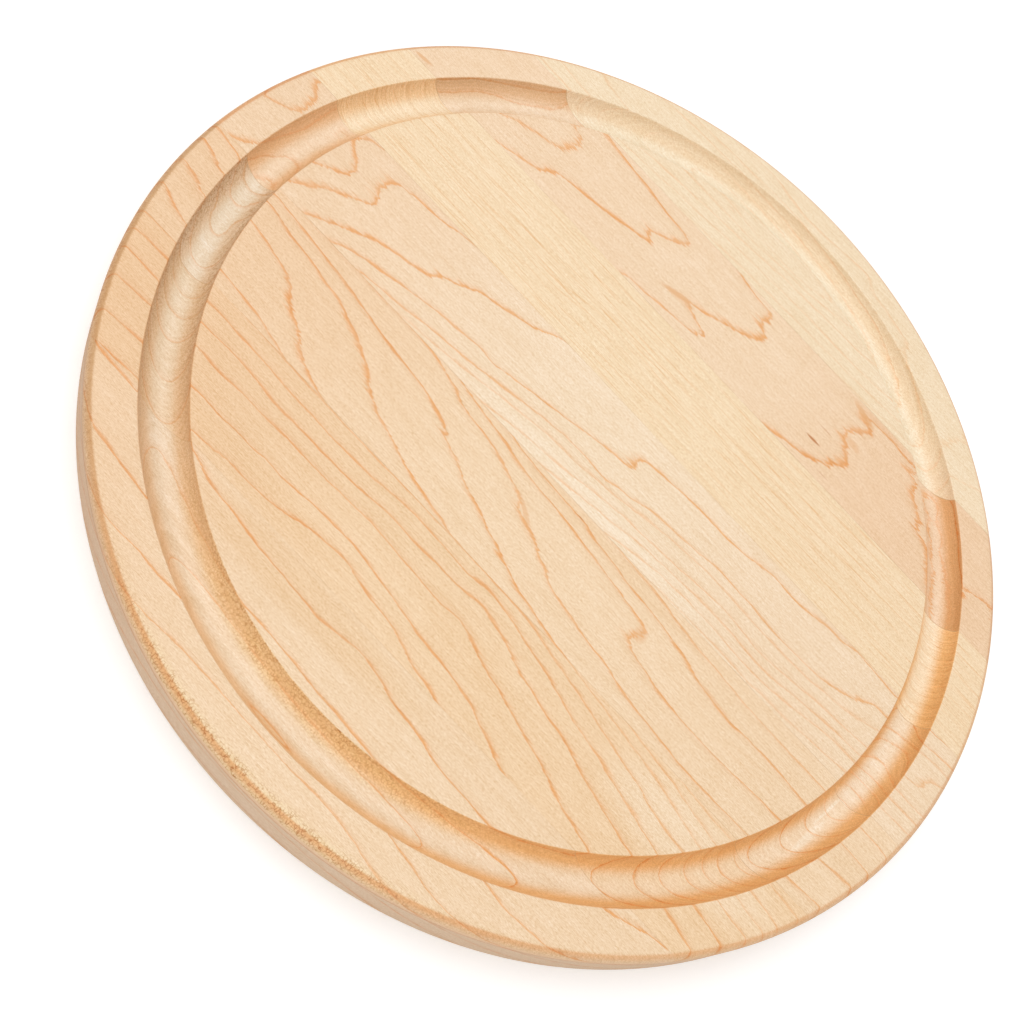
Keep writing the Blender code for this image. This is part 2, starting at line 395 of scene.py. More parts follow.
# %% Growth lines of stave 5, slanting grain
GROWTH_LINES["stave_5_slanting_grain"] = [
    (1, 0.9, [(-165, -51), (-160, -53), (-150, -57), (-140, -59), (-120, -60.5), (-100, -63),
        (-90, -65.5)]),
    (2, 0.95, [(-164, -41), (-158, -42), (-152, -45), (-143, -42.5), (-136, -38.2), (-130, -38.7),
        (-120, -40.8), (-115, -42), (-110, -44), (-106, -47), (-103, -50), (-98, -53), (-93, -55.5),
        (-90, -58.5), (-85, -61.5), (-80, -63.5), (-72, -65.4)]),
    (3, 0.95, [(-166, -29.5), (-160, -31), (-153, -33.5), (-144, -31.5), (-137, -28.3), (-130, -29),
        (-120, -31), (-110, -31.7), (-105, -33), (-98, -34), (-90, -36), (-84, -38.5), (-79, -40.5),
        (-74, -43.5), (-70, -46), (-67, -48.5), (-62, -51.5), (-57, -54), (-50, -56), (-43, -58.5),
        (-35, -60.5), (-28, -62), (-20, -63.5), (-14, -65), (-8, -65.6)]),
    (4, 0.95, [(-168, -22), (-160, -23.2), (-150, -24.8), (-137, -24), (-130, -24.5), (-120, -25.3),
        (-110, -26.5), (-100, -27.5), (-90, -29.3), (-80, -31), (-70, -32.3), (-62, -33), (-55, -34),
        (-50, -35), (-45, -36.3), (-41, -37.7), (-38.5, -40), (-35, -42), (-30, -43.3), (-25, -46),
        (-20, -48.5), (-15, -50), (-10, -51.5), (-5, -53.5), (0, -54.9), (5, -57), (10, -59), (15, -61),
        (22, -62), (30, -63.8), (42, -65.5)]),
    (5, 0.85, [(-60, -21.4), (-48, -24.5), (-38, -28), (-28, -28.8), (-20, -30.7), (-10, -34), (-4, -36.5),
        (-3, -39.5), (2, -41.3), (8, -43), (12, -46), (17, -48), (22, -51), (28, -52.3), (35, -53.5),
        (43, -55.3), (50, -56), (57, -57), (65, -59), (75, -60), (85, -61.2), (95, -61.8), (105, -61.8),
        (123, -61.5), (145, -61), (158, -60)]),
    (6, 0.9, [(-45, -21.3), (-30, -23.6), (-22, -24.8), (-12, -27), (0, -28), (10, -28.6), (20, -30),
        (30, -31.2), (40, -32.8), (48, -34), (54, -35.2), (55.6, -37.5), (54, -40), (53, -42.7), (56, -45),
        (62, -46.4), (68, -48), (75, -49), (85, -49.7), (95, -50), (105, -49.7), (115, -49), (131, -48.3),
        (148, -47.6), (161, -46)]),
    (7, 0.9, [(-20, -21.4), (-8, -22.7), (0, -23.3), (10, -23.5), (15, -23.8), (20, -25), (30, -26.5),
        (40, -28), (50, -28.6), (60, -30), (70, -31.5), (75, -33), (80, -34.5), (88, -35.6), (96, -36.4),
        (105, -35.8), (115, -35.7), (125, -36), (134, -36.7), (152, -37), (165, -37.6)]),
    (8, 0.6, [(32, -21.2), (45, -21.7), (55, -23), (70, -25), (85, -26), (100, -27), (115, -27.3),
        (135, -27.3), (153, -27), (166, -27.6)]),
]

# %% [markdown]
# The lines of this stave nearly follow its length, in shallow waves, as they do where a trunk wasn't
# quite straight.

# %% Growth lines of stave 6, wavy grain
GROWTH_LINES["stave_6_wavy_grain"] = [
    (-3, 0.4, [(100, -66), (120, -67.2), (140, -68), (156, -69.5)]),
    (-2, 0.5, [(78, -66.4), (95, -68.5), (105, -70.5), (118, -72.5), (135, -74.8), (151, -77)]),
    (-1, 0.5, [(45, -65.9), (60, -67.8), (70, -69.2), (80, -70.6), (90, -72), (97, -73.5), (105, -75.5),
        (115, -77.5), (130, -79.5), (147, -82)]),
    (0, 0.65, [(-60, -66.2), (-30, -65.9), (10, -65.9), (25, -66.4), (35, -68), (45, -70), (55, -71.8),
        (65, -74), (75, -76), (85, -78), (92, -80), (100, -82), (110, -83), (130, -86), (137, -87),
        (145, -88)]),
    (1, 0.8, [(-155, -73.2), (-147, -72.3), (-135, -72.3), (-120, -72), (-110, -71.8), (-100, -72),
        (-90, -72.2), (-80, -72.9), (-70, -72.7), (-60, -73), (-50, -72.5), (-42, -72.3), (-35, -71),
        (-28, -70.3), (-18, -70.2), (-8, -70.3), (0, -70.8), (5, -70), (9, -69), (14, -69.8), (20, -70.5),
        (25, -71.5), (32, -73), (40, -74.8), (47, -76.5), (55, -78.8), (62, -80.3), (70, -81.5),
        (77, -83.5), (85, -85.5), (92, -87), (100, -89), (106, -90.5), (125, -93.5), (140, -96)]),
    (2, 0.85, [(-149, -79.8), (-134, -80), (-112, -78.8), (-105, -78.3), (-95, -78.3), (-88, -79),
        (-80, -79.8), (-70, -79.3), (-60, -79.2), (-50, -79), (-42, -78.3), (-35, -77.3), (-28, -76.8),
        (-18, -77.3), (-8, -76.5), (0, -76.5), (5, -76), (10, -74.7), (15, -75.5), (20, -77), (28, -79),
        (35, -81.5), (43, -83.2), (50, -85.2), (58, -86.3), (64, -88), (70, -90), (78, -92), (85, -94),
        (93, -96), (101, -97.3), (118, -101.5), (132, -104.5)]),
    (3, 0.9, [(-143, -89.5), (-131, -88.3), (-118, -87), (-110, -86), (-103, -86.5), (-95, -86.3),
        (-85, -85.5), (-78, -85.7), (-70, -85), (-60, -85), (-50, -84.8), (-42, -84.3), (-34, -83.7),
        (-25, -84), (-15, -84.5), (-5, -85.3), (3, -85.3), (10, -84.5), (15, -85.5), (20, -87.5), (28, -90),
        (35, -91.7), (42, -93.5), (50, -96), (58, -98), (65, -100.3), (70, -102.5), (77, -104),
        (84, -105.8), (90, -107.6), (105, -110)]),
    (4, 0.9, [(-137, -100.8), (-130, -100), (-121, -99.3), (-110, -98), (-100, -97), (-95, -96.5),
        (-88, -97), (-80, -96.3), (-75, -96.5), (-68, -95.7), (-60, -95.8), (-52, -95), (-45, -94.2),
        (-38, -94), (-28, -94), (-20, -95), (-10, -96.3), (0, -98), (8, -99), (15, -99.5), (22, -100.3),
        (30, -101.8), (36, -104), (43, -106.3), (48, -108.5), (52, -110)]),
    (5, 0.95, [(-128, -110), (-112, -109), (-100, -108.4), (-88, -107.3), (-80, -106.7), (-75, -105.3),
        (-68, -105.6), (-60, -105), (-52, -103.7), (-45, -101.7), (-40, -100.5), (-35, -100), (-31, -99.3),
        (-27, -99.5), (-22, -100.7), (-15, -102), (-8, -102.7), (0, -104), (5, -105.5), (10, -107.4),
        (17, -108.3), (23, -109.9)]),
]

# %% [markdown]
# The front stave has few lines, far apart. Its rays show more than those of the others, but they
# aren't drawn here: the material makes them.

# %% Growth lines of stave 7, front edge
GROWTH_LINES["stave_7_front_edge"] = [
    (1, 0.95, [(-120, -111.5), (-100, -112), (-85, -111.5), (-78, -113.5), (-73, -115), (-65, -115.7),
        (-55, -116.8), (-48, -118), (-40, -118.2), (-32, -118.7), (-25, -119), (-19, -119.5), (-14, -118.5),
        (-8, -117.5), (-3, -117), (2, -117.8), (7, -118.3), (10, -119.3), (14, -120.7), (20, -121.3),
        (28, -122), (33, -123.3), (40, -124.5), (48, -124.7), (55, -125), (62, -125.2), (75, -124),
        (90, -121), (103, -116.5), (107, -115.3), (112, -113.5), (122, -110.8)]),
    (2, 0.9, [(-110, -129.5), (-107, -130.3), (-100, -131.2), (-93, -132), (-82, -133.3), (-65, -134),
        (-50, -134.2), (-34, -134.2), (-25, -134.5), (-15, -135), (-8, -135.7), (0, -136.2), (10, -136.7),
        (20, -137.3), (30, -137.6), (45, -138.5), (60, -138.7), (71, -138.6), (82, -139.5), (90, -138.7),
        (99, -138)]),
    (3, 0.85, [(-86, -146.5), (-78, -147), (-70, -146.5), (-60, -147.3), (-50, -147), (-30, -147.3),
        (0, -148.5), (25, -149.5), (41, -150), (48, -151), (58, -152.7), (65, -153.3), (73, -153)]),
    (4, 0.75, [(-62, -158.3), (-50, -158), (-40, -157.5), (-30, -157.3), (-20, -157.7), (-10, -158),
        (0, -158.3), (10, -158.2), (18, -157.8), (28, -158.2), (35, -159), (42, -160.7), (49, -161.8)]),
]

# %% How the drawn lines sit in the wood
# All points were read a little to one side of the board's axes, so they are moved by this much in
# X and Y, in millimetres.
READING_OFFSET = (0.5, -0.3)
# How fast the ring number grows with depth, which is the tilt of the shells in each stave.
RINGS_PER_MM_DEEP = dict(zip(STAVES, (-0.14, 0.22, 0.06, 0.19, 0.17, -0.16, 0.12)))
print("growth lines drawn:", sum(len(lines) for lines in GROWTH_LINES.values()))

# %% [markdown]
# ## A smooth sheet through the ring numbers
#
# The sheet that bends least while it goes through given heights is a thin plate. Its height is a sum
# of one bump per given point, each r * r * log(r), plus a flat tilt, and the sizes of the bumps come
# from one set of linear equations. Wood figure is drawn out along the grain, so distances along X are
# shortened first.

# %% The thin plate
ALONG_GRAIN = 3.0
LEAST_SQUARE = 1e-12


def bumps(places, centres):
    """r * r * log(r) for the distance r from every place to every centre."""
    square = ((places[:, None] - centres[None]) ** 2).sum(axis=-1)
    return 0.5 * square * np.log(np.maximum(square, LEAST_SQUARE))


def fit_plate(lines):
    """The centres and the weights of the plate that takes each line's ring at each of its points."""
    points = np.concatenate([np.array(line[2], float) for line in lines]) + READING_OFFSET
    rings = np.concatenate([np.full(len(line[2]), float(line[0])) for line in lines])
    centres = points / (ALONG_GRAIN, 1)
    count = len(centres)
    system = np.zeros((count + 3, count + 3))
    system[:count, :count] = bumps(centres, centres)
    system[:count, count] = 1
    system[:count, count + 1 :] = centres
    system[count:, :count] = system[:count, count:].T
    return centres, np.linalg.solve(system, np.concatenate([rings, np.zeros(3)]))


def plate_height(plate, x, y):
    """The plate's value at each x and y: the weighted bumps, plus the tilt."""
    centres, weights = plate
    places = np.stack([x / ALONG_GRAIN, y], axis=-1)
    bent = bumps(places, centres) @ weights[:-3]
    return bent + weights[-3] + places @ weights[-2:]


plates = {name: fit_plate(GROWTH_LINES[name]) for name in STAVES}
middle_ring = plate_height(plates["stave_4_centre"], np.zeros(1), np.zeros(1))[0]
print("ring at the board's centre:", round(float(middle_ring), 2))

# %% [markdown]
# ## What each point of the surface knows about its wood
#
# A node material can't solve for the rings, but it can read numbers stored on the mesh and blend them
# across each face. Besides the ring itself it needs to know how fast the ring changes along the
# grain, which gives flame figure its ragged edge, and how fast it changes over the surface, which
# turns rings into millimetres. Both need the direction in which the surface faces.

# %% The surface's direction at each point
# The least distance from the axis that is divided by, in millimetres.
NEAR_AXIS = 1e-6

section_run = np.gradient(section, axis=0)
section_facing = np.stack([-section_run[:, 1], section_run[:, 0]], axis=1)
section_facing /= np.linalg.norm(section_facing, axis=1)[:, None]


def facing(points):
    """The outward direction of the turned surface: that of the nearest point of the section."""
    out = np.hypot(points[:, 0], points[:, 1])
    place = np.stack([out, points[:, 2]], axis=1)
    nearest = ((place[:, None] - section[None]) ** 2).sum(axis=-1).argmin(axis=1)
    radial, upward = section_facing[nearest].T
    safe = np.maximum(out, NEAR_AXIS)
    return np.stack([radial * points[:, 0] / safe, radial * points[:, 1] / safe, upward], axis=1)


# %% How fast the ring changes
STEP = 0.2
LEAST_CHANGE = 1e-6


def ring_change(name, points):
    """The ring's change per millimetre in X, Y and Z, from its values a small step to each side."""
    plate = plates[name]
    x, y = points[:, 0], points[:, 1]
    along = (plate_height(plate, x + STEP, y) - plate_height(plate, x - STEP, y)) / (2 * STEP)
    across = (plate_height(plate, x, y + STEP) - plate_height(plate, x, y - STEP)) / (2 * STEP)
    return np.stack([along, across, np.full(len(x), -RINGS_PER_MM_DEEP[name])], axis=1)


def pace_over(change, out):
    """The whole change without its part along the surface's direction, by Pythagoras."""
    outward = (change * out).sum(axis=1)
    return np.sqrt(np.maximum((change**2).sum(axis=1) - outward**2, LEAST_CHANGE))


# %% How dark the lines are
DEEP_INK = 0.8
FACE_INK_DEPTH = 3.0
DEEP_INK_DEPTH = 8.0


def line_darkness(name, ring, depth):
    """The drawn lines' darkness, blended from line to line, and an even value deep in the wood."""
    drawn = sorted((value, ink) for value, ink, points in GROWTH_LINES[name] if ink > 0)
    values, inks = zip(*drawn)
    values = (values[0] - 1, *values, values[-1] + 1)
    on_face = np.interp(ring, values, (0, *inks, 0))
    deep = np.clip((depth - FACE_INK_DEPTH) / (DEEP_INK_DEPTH - FACE_INK_DEPTH), 0, 1) * DEEP_INK
    return np.maximum(on_face, deep)


# %% [markdown]
# Rays are ribbons of cells that run from the middle of the tree outwards. They show where the surface
# lies along them, which is where it faces along the rings. Hand sanding also wears the face down a
# little towards its edge. That is too little to see as a shape, but rays start to show there before
# the edge is reached, so the direction used for them is tilted outwards near the rim.

# %% Where the rays show
# The tilt of the rays in each stave, in radians from upright.
RAY_LEAN = dict(zip(STAVES, (1.2, 0.3, 1.15, 1.0, 1.0, 0.7, 0.46)))
EDGE_WEAR = 0.45
WEAR_WIDTH = 8.5
UPWARD_GAIN = 4


def along_rays(name, points, out):
    """|y * cos(lean) - z * sin(lean)| of the worn direction, going to 0 where the surface turns down."""
    x, y = points[:, 0], points[:, 1]
    reach = np.hypot(x, y)
    wear = EDGE_WEAR * np.clip((reach - RADIUS + WEAR_WIDTH) / (WEAR_WIDTH - TOP_ROUNDING), 0, 1)
    worn = out + np.stack([wear * x, wear * y, 0 * x], axis=1) / np.maximum(reach, NEAR_AXIS)[:, None]
    worn /= np.linalg.norm(worn, axis=1)[:, None]
    lean = RAY_LEAN[name]
    square = np.abs(worn[:, 1] * math.cos(lean) - worn[:, 2] * math.sin(lean))
    return square * np.clip(UPWARD_GAIN * out[:, 2], 0, 1)


# %% [markdown]
# Oil and sanding treat the groove, the rounded edge and the side each in their own way, and the groove
# and the side also carry painted shade and highlight, so each has its own number: the groove's, which
# grows in over its first two millimetres, how steep its wall is, how far round the edge a point lies,
# and whether it is on the side.

# %% Which tool shaped each point
NEAR = 0.01
GROOVE_LIP = 2.0
UPRIGHT = 0.2


def tool_marks(points, out):
    """Hollow, steep, edge and side, each from 0 to 1. Steepness is 1 - the direction's upward part."""
    depth = THICKNESS - points[:, 2]
    reach = np.hypot(points[:, 0], points[:, 1])
    steepness = 1 - out[:, 2]
    hollow = (reach < RADIUS - RIM_WIDTH) * (out[:, 2] > 0)
    rounded = (reach > RADIUS - TOP_ROUNDING) * (depth < TOP_ROUNDING + NEAR)
    below = (depth > TOP_ROUNDING + NEAR) * (np.abs(out[:, 2]) < UPRIGHT)
    return {
        "hollow": hollow * np.clip(depth / GROOVE_LIP, 0, 1),
        "steep": hollow * steepness,
        "edge": rounded * steepness,
        "side": (reach > RADIUS - NEAR) * below,
    }


# %% Storing the numbers on the meshes
def surface_numbers(name, points):
    """All the numbers of a stave's points, by the names under which the material reads them."""
    change, out = ring_change(name, points), facing(points)
    depth = THICKNESS - points[:, 2]
    ring = plate_height(plates[name], points[:, 0], points[:, 1]) + RINGS_PER_MM_DEEP[name] * depth
    return {
        "ring": ring,
        "along": change[:, 0],
        "pace": pace_over(change, out),
        "ink": line_darkness(name, ring, depth),
        "end_grain": np.abs(out[:, 0]),
        "quarter": along_rays(name, points, out),
        **tool_marks(points, out),
    }


for name, piece in pieces.items():
    mesh = piece.data
    points = np.empty(len(mesh.vertices) * 3)
    mesh.vertices.foreach_get("co", points)
    numbers = surface_numbers(name, points.reshape(-1, 3) / MM)
    for title, values in numbers.items():
        layer = mesh.attributes.new(title, "FLOAT", "POINT")
        layer.data.foreach_set("value", values)
    print(name, "rings", round(numbers["ring"].min(), 1), "to", round(numbers["ring"].max(), 1))

# %% [markdown]
# ## Small helpers for node trees
#
# Every material below is a tree of small sums. Written out in full, one multiplication takes four
# lines of code, so a few helpers add a node, wire its inputs and hand back its output. An input may
# be a plain number or another node's output.


# %% Sums
def put(tree, value, socket):
    """Wires an output to an input, or writes a plain value in it."""
    if isinstance(value, bpy.types.NodeSocket):
        tree.links.new(value, socket)
    else:
        socket.default_value = value


def calc(tree, operation, *values):
    """One sum: ADD, MULTIPLY, POWER and so on."""
    node = tree.nodes.new("ShaderNodeMath")
    node.operation = operation
    for value, socket in zip(values, node.inputs):
        put(tree, value, socket)
    return node.outputs[0]


def product(tree, first, *others):
    """All the values multiplied together."""
    for other in others:
        first = calc(tree, "MULTIPLY", first, other)
    return first


def climb(tree, value, slope, start):
    """start + slope * value."""
    return calc(tree, "MULTIPLY_ADD", value, slope, start)


def fade(tree, value, start, end, low=0.0, high=1.0):
    """A soft step from low to high while the value goes from start to end."""
    node = tree.nodes.new("ShaderNodeMapRange")
    node.interpolation_type = "SMOOTHSTEP"
    for title, number in (("Value", value), ("From Min", start), ("From Max", end)):
        put(tree, number, node.inputs[title])
    put(tree, low, node.inputs["To Min"])
    put(tree, high, node.inputs["To Max"])
    return node.outputs[0]


def dying_out(tree, distance, reach):
    """1 at no distance, falling softly to 0 at the reach."""
    return fade(tree, distance, 0.0, reach, 1.0, 0.0)


# %% Noise, vectors and colours
def noise(tree, place, size, detail=2.0):
    """Soft random values round 0.5, whose spots are size (x, y, z) millimetres large."""
    stretch = tree.nodes.new("ShaderNodeVectorMath")
    stretch.operation = "DIVIDE"
    put(tree, place, stretch.inputs[0])
    put(tree, size, stretch.inputs[1])
    node = tree.nodes.new("ShaderNodeTexNoise")
    node.inputs["Scale"].default_value = 1
    node.inputs["Detail"].default_value = detail
    put(tree, stretch.outputs[0], node.inputs["Vector"])
    return node.outputs["Fac"]


def swing(tree, place, size, detail=2.0):
    """Noise moved down by a half, so that it swings round 0."""
    return calc(tree, "SUBTRACT", noise(tree, place, size, detail), 0.5)


def mix(tree, share, first, second, way="MIX"):
    """Two colours mixed by a share from 0 to 1."""
    node = tree.nodes.new("ShaderNodeMix")
    node.data_type = "RGBA"
    node.blend_type = way
    put(tree, share, node.inputs[0])
    put(tree, first, node.inputs[6])
    put(tree, second, node.inputs[7])
    return node.outputs[2]


def tinted(tree, share, colour, tint):
    """The colour multiplied by a tint, as far as the share says."""
    return mix(tree, share, colour, tint, "MULTIPLY")


def parts_of(tree, vector):
    """The three numbers of a vector."""
    node = tree.nodes.new("ShaderNodeSeparateXYZ")
    put(tree, vector, node.inputs[0])
    return node.outputs


def joined(tree, x, y, z):
    """A vector of three numbers."""
    node = tree.nodes.new("ShaderNodeCombineXYZ")
    for value, socket in zip((x, y, z), node.inputs):
        put(tree, value, socket)
    return node.outputs[0]


# %% Node groups
SOCKETS = {"value": "NodeSocketFloat", "colour": "NodeSocketColor", "place": "NodeSocketVector"}


def numbers_named(*titles):
    """Sockets that each hold one number."""
    return [(title, "value") for title in titles]


def new_group(name, inputs, outputs):
    """A node group with named inputs and outputs, given as (name, kind of socket)."""
    tree = bpy.data.node_groups.new(name, "ShaderNodeTree")
    for way, sockets in (("INPUT", inputs), ("OUTPUT", outputs)):
        for title, kind in sockets:
            tree.interface.new_socket(title, in_out=way, socket_type=SOCKETS[kind])
    return tree, tree.nodes.new("NodeGroupInput").outputs, tree.nodes.new("NodeGroupOutput").inputs


def use_group(tree, group, values):
    """Places a group in a tree, wires its inputs by name and hands back its outputs."""
    node = tree.nodes.new("ShaderNodeGroup")
    node.node_tree = group
    for title, value in values.items():
        put(tree, value, node.inputs[title])
    return node.outputs


print("kinds of socket:", sorted(SOCKETS))

# %% [markdown]
# ## Growth lines as colour
#
# Late wood builds up slowly through the year and stops at once, so a growth line is sharp on its
# outer side and has a warm halo on the other. Where it runs across the grain, each fibre was sawn at
# a slightly different place, and the line swells and breaks up into feathers. That is done by
# shifting the ring number along the grain, by noise that is long in X and narrow in Y and Z.

# %% What a growth line is made of
# Feathers: the size of their spots in millimetres, and how far they shift the line along the grain.
FEATHERS = (((60, 3.4, 3.4), 2.2), ((30, 1.1, 1.1), 3.2), ((10, 0.4, 0.4), 3.6))
SWAY_SPOTS = (7, 5, 5)
PRESSURE_SPOTS = (13, 2.2, 2.2)
HAIR_SPOTS = (9, 0.34, 0.34)
# Soft steps: from, to, and the values before and after.
PRESSURE = (0.40, 0.72, 0.6, 2.2)
HAIR_LENGTH = (0.44, 0.70, 0.0, 5.5)
HAIR_STRENGTH = 0.6
# Widths as shares of the line's own: a line along the grain, its swelling across the grain, its
# outer side, its inner side and the halo's outer side.
SLENDER, SWELLING, SWELLING_POWER = 0.65, 1.9, 1.5
OUTER_SIDE, INNER_SIDE, HALO_OUTER_SIDE = 0.35, 1.1, 0.8
HALO_POWER = 1.6
LEAST_PACE = 0.015


def ragged_ring(tree, given):
    """The ring number, shifted along the grain by feathers and swayed a little everywhere."""
    shift = 0.0
    for size, reach in FEATHERS:
        shift = climb(tree, swing(tree, given["Place"], size, detail=1), reach, shift)
    shift = product(tree, shift, given["Feather"])
    ring = climb(tree, shift, given["Along"], given["Ring"])
    sway = product(tree, swing(tree, given["Place"], SWAY_SPOTS, detail=3), given["Wander"], given["Pace"])
    return calc(tree, "ADD", ring, sway)


def line_width(tree, given, crossing):
    """Width * (slender + swelling * crossing ** power) * the changing pressure of a pen."""
    swell = climb(tree, calc(tree, "POWER", crossing, SWELLING_POWER), SWELLING, SLENDER)
    pressure = fade(tree, noise(tree, given["Place"], PRESSURE_SPOTS), *PRESSURE)
    return product(tree, given["Width"], swell, pressure)


# %% The group for growth lines
def make_growth_lines():
    """Line and halo: 1 at a whole ring number, fading out over a width in millimetres."""
    tree, given, result = new_group(
        "growth_lines",
        [("Place", "place"), *numbers_named("Ring", "Along", "Pace", "Feather", "Wander", "Width", "Halo")],
        numbers_named("Line", "Halo", "Ring"),
    )
    ring = ragged_ring(tree, given)
    pace = calc(tree, "MAXIMUM", given["Pace"], LEAST_PACE)
    crossing = calc(tree, "DIVIDE", calc(tree, "ABSOLUTE", given["Along"]), pace)
    crossing = calc(tree, "MINIMUM", crossing, 1.0)
    width = line_width(tree, given, crossing)
    past = calc(tree, "FRACT", ring)
    after = calc(tree, "DIVIDE", past, pace)
    before = calc(tree, "DIVIDE", calc(tree, "SUBTRACT", 1.0, past), pace)
    sharp = dying_out(tree, after, product(tree, width, OUTER_SIDE))
    soft = dying_out(tree, before, product(tree, width, INNER_SIDE))
    brush = fade(tree, noise(tree, given["Place"], HAIR_SPOTS, detail=1), *HAIR_LENGTH)
    hairs = dying_out(tree, before, climb(tree, brush, crossing, width))
    soft = calc(tree, "MAXIMUM", soft, product(tree, hairs, HAIR_STRENGTH))
    halo = calc(tree, "POWER", dying_out(tree, before, given["Halo"]), HALO_POWER)
    behind = dying_out(tree, after, product(tree, width, HALO_OUTER_SIDE))
    put(tree, calc(tree, "MAXIMUM", sharp, soft), result["Line"])
    put(tree, calc(tree, "MAXIMUM", halo, behind), result["Halo"])
    put(tree, ring, result["Ring"])
    return tree


growth_lines = make_growth_lines()
print(growth_lines.name, "nodes:", len(growth_lines.nodes))

# %% [markdown]
# ## Fibres and pores
#
# Close up, sanded maple is a mass of short pale and dark dashes along the grain, with a few long
# brown pores. Where the board was turned across the grain, the cut ends of the fibres show as fine
# dots. The wood also has a broad drift of tone, and within each year paler and darker bands. All of
# these are noise of the right size: long in X, a fraction of a millimetre in Y and Z, and for the
# bands one that is read by the ring number instead of the place.

# %% The group for fibres
# Spots of noise in millimetres.
SHORT_DASHES, LONG_DASHES, GRIT = (1.1, 0.34, 0.34), (9, 0.55, 0.55), (1.0, 0.2, 0.2)
PORES, DOTS, DRIFT = (20, 0.36, 3.0), (0.6, 0.34, 0.34), (110, 14, 14)
SHORT_SHARE, LONG_SHARE, GRIT_SHARE = 0.9, 0.7, 1.3
PORES_BEGIN, PORES_FULL = 0.58, 0.72
BANDS_ALONG, BANDS_PER_RING = 0.01, 7.0
TO_FULL_SWING = 2.0


def make_fibres():
    """Pores from 0 to 1, and dashes, dots, drift and bands that swing from about -1 to 1."""
    tree, given, result = new_group(
        "fibres",
        [("Place", "place"), ("Ring", "value")],
        numbers_named("Dashes", "Pores", "Dots", "Drift", "Bands"),
    )
    place = given["Place"]
    dashes = product(tree, swing(tree, place, LONG_DASHES), LONG_SHARE)
    dashes = climb(tree, swing(tree, place, SHORT_DASHES), SHORT_SHARE, dashes)
    dashes = climb(tree, swing(tree, place, GRIT, detail=1), GRIT_SHARE, dashes)
    put(tree, dashes, result["Dashes"])
    put(tree, fade(tree, noise(tree, place, PORES, detail=1), PORES_BEGIN, PORES_FULL), result["Pores"])
    across_ring = product(tree, given["Ring"], BANDS_PER_RING)
    ring_place = joined(tree, product(tree, parts_of(tree, place)[0], BANDS_ALONG), across_ring, 0.0)
    swings = (("Dots", place, DOTS), ("Drift", place, DRIFT), ("Bands", ring_place, (1, 1, 1)))
    for title, where, size in swings:
        put(tree, product(tree, swing(tree, where, size), TO_FULL_SWING), result[title])
    return tree


fibres = make_fibres()
print(fibres.name, "nodes:", len(fibres.nodes))

# %% [markdown]
# ## Rays
#
# A ray that lies in the surface shows as a pale scale about a millimetre large with a thin brown
# border on its lower side. Voronoi cells have just that form: their edges give the borders, and the
# place within the cell says which border is the lower one. The cells are laid out along the ray,
# across it and along the grain, so that they lean as the rays of the stave do.

# %% The group for rays
# One scale's size in millimetres: along the grain, along the ray and across it.
SCALE_SIZE = (1.0, 1.7, 1.1)
# Soft steps: from, to, and the values before and after.
BORDER = (0.03, 0.22, 1.0, 0.0)
LOWER_BORDER = (-0.2, 0.25, 1.0, 0.2)
BROKEN_SPOTS, BROKEN = (1.3, 1.8, 1.3), (0.34, 0.56, 0.35, 1.0)
PATCH_SPOTS, PATCH = (8, 4, 4), (0.3, 0.6, 0.6, 1.0)
SQUARE_ENOUGH, SQUARE = 0.62, 0.92


def ray_places(tree, given):
    """The place in scales: x, then y * sin + z * cos of the lean, then y * cos - z * sin of it."""
    x, y, z = parts_of(tree, given["Place"])
    sine, cosine = calc(tree, "SINE", given["Lean"]), calc(tree, "COSINE", given["Lean"])
    along_ray = climb(tree, y, sine, product(tree, z, cosine))
    across_ray = calc(tree, "SUBTRACT", product(tree, y, cosine), product(tree, z, sine))
    places = zip((x, along_ray, across_ray), SCALE_SIZE)
    return [calc(tree, "DIVIDE", place, size) for place, size in places]


def make_rays():
    """Scales: the dark of their borders. Ground: how much of the rays shows at all."""
    tree, given, result = new_group(
        "rays", [("Place", "place"), *numbers_named("Lean", "Quarter")], numbers_named("Scales", "Ground")
    )
    places = ray_places(tree, given)
    borders, middles = [tree.nodes.new("ShaderNodeTexVoronoi") for _ in range(2)]
    borders.feature = "DISTANCE_TO_EDGE"
    for node in (borders, middles):
        node.inputs["Scale"].default_value = 1
        put(tree, joined(tree, *places), node.inputs["Vector"])
    above = calc(tree, "SUBTRACT", places[1], parts_of(tree, middles.outputs["Position"])[1])
    scales = product(
        tree,
        fade(tree, borders.outputs["Distance"], *BORDER),
        fade(tree, above, *LOWER_BORDER),
        fade(tree, noise(tree, given["Place"], BROKEN_SPOTS, detail=1), *BROKEN),
    )
    patch = fade(tree, noise(tree, given["Place"], PATCH_SPOTS), *PATCH)
    put(tree, scales, result["Scales"])
    put(tree, product(tree, fade(tree, given["Quarter"], SQUARE_ENOUGH, SQUARE), patch), result["Ground"])
    return tree


rays = make_rays()
print(rays.name, "nodes:", len(rays.nodes))

# %% [markdown]
# ## Glue joints and streaks
#
# Two staves meet in a film of glue about a tenth of a millimetre thick, which shows as a brown
# hairline where the two edges weren't quite tight. A streak is a lens of darker or paler wood that
# lies along the grain, a few millimetres long where it is mineral. Both are masks worked out from the
# place on the board.

# %% The groups for glue and streaks
GLUE_BEGINS, GLUE_ENDS = 0.03, 0.16
GLUE_SPOTS, GLUE_BROKEN = (16, 60, 3), (0.35, 0.6, 0.3, 1.0)
FRAY_SPOTS = (3, 0.5, 0.5)
STREAK_DEPTH = 6.0
STREAK_SOLID, STREAK_GONE = 0.1, 1.0
JOINT_INPUTS = ("Back Joint", "Front Joint", "Back Glue", "Front Glue")


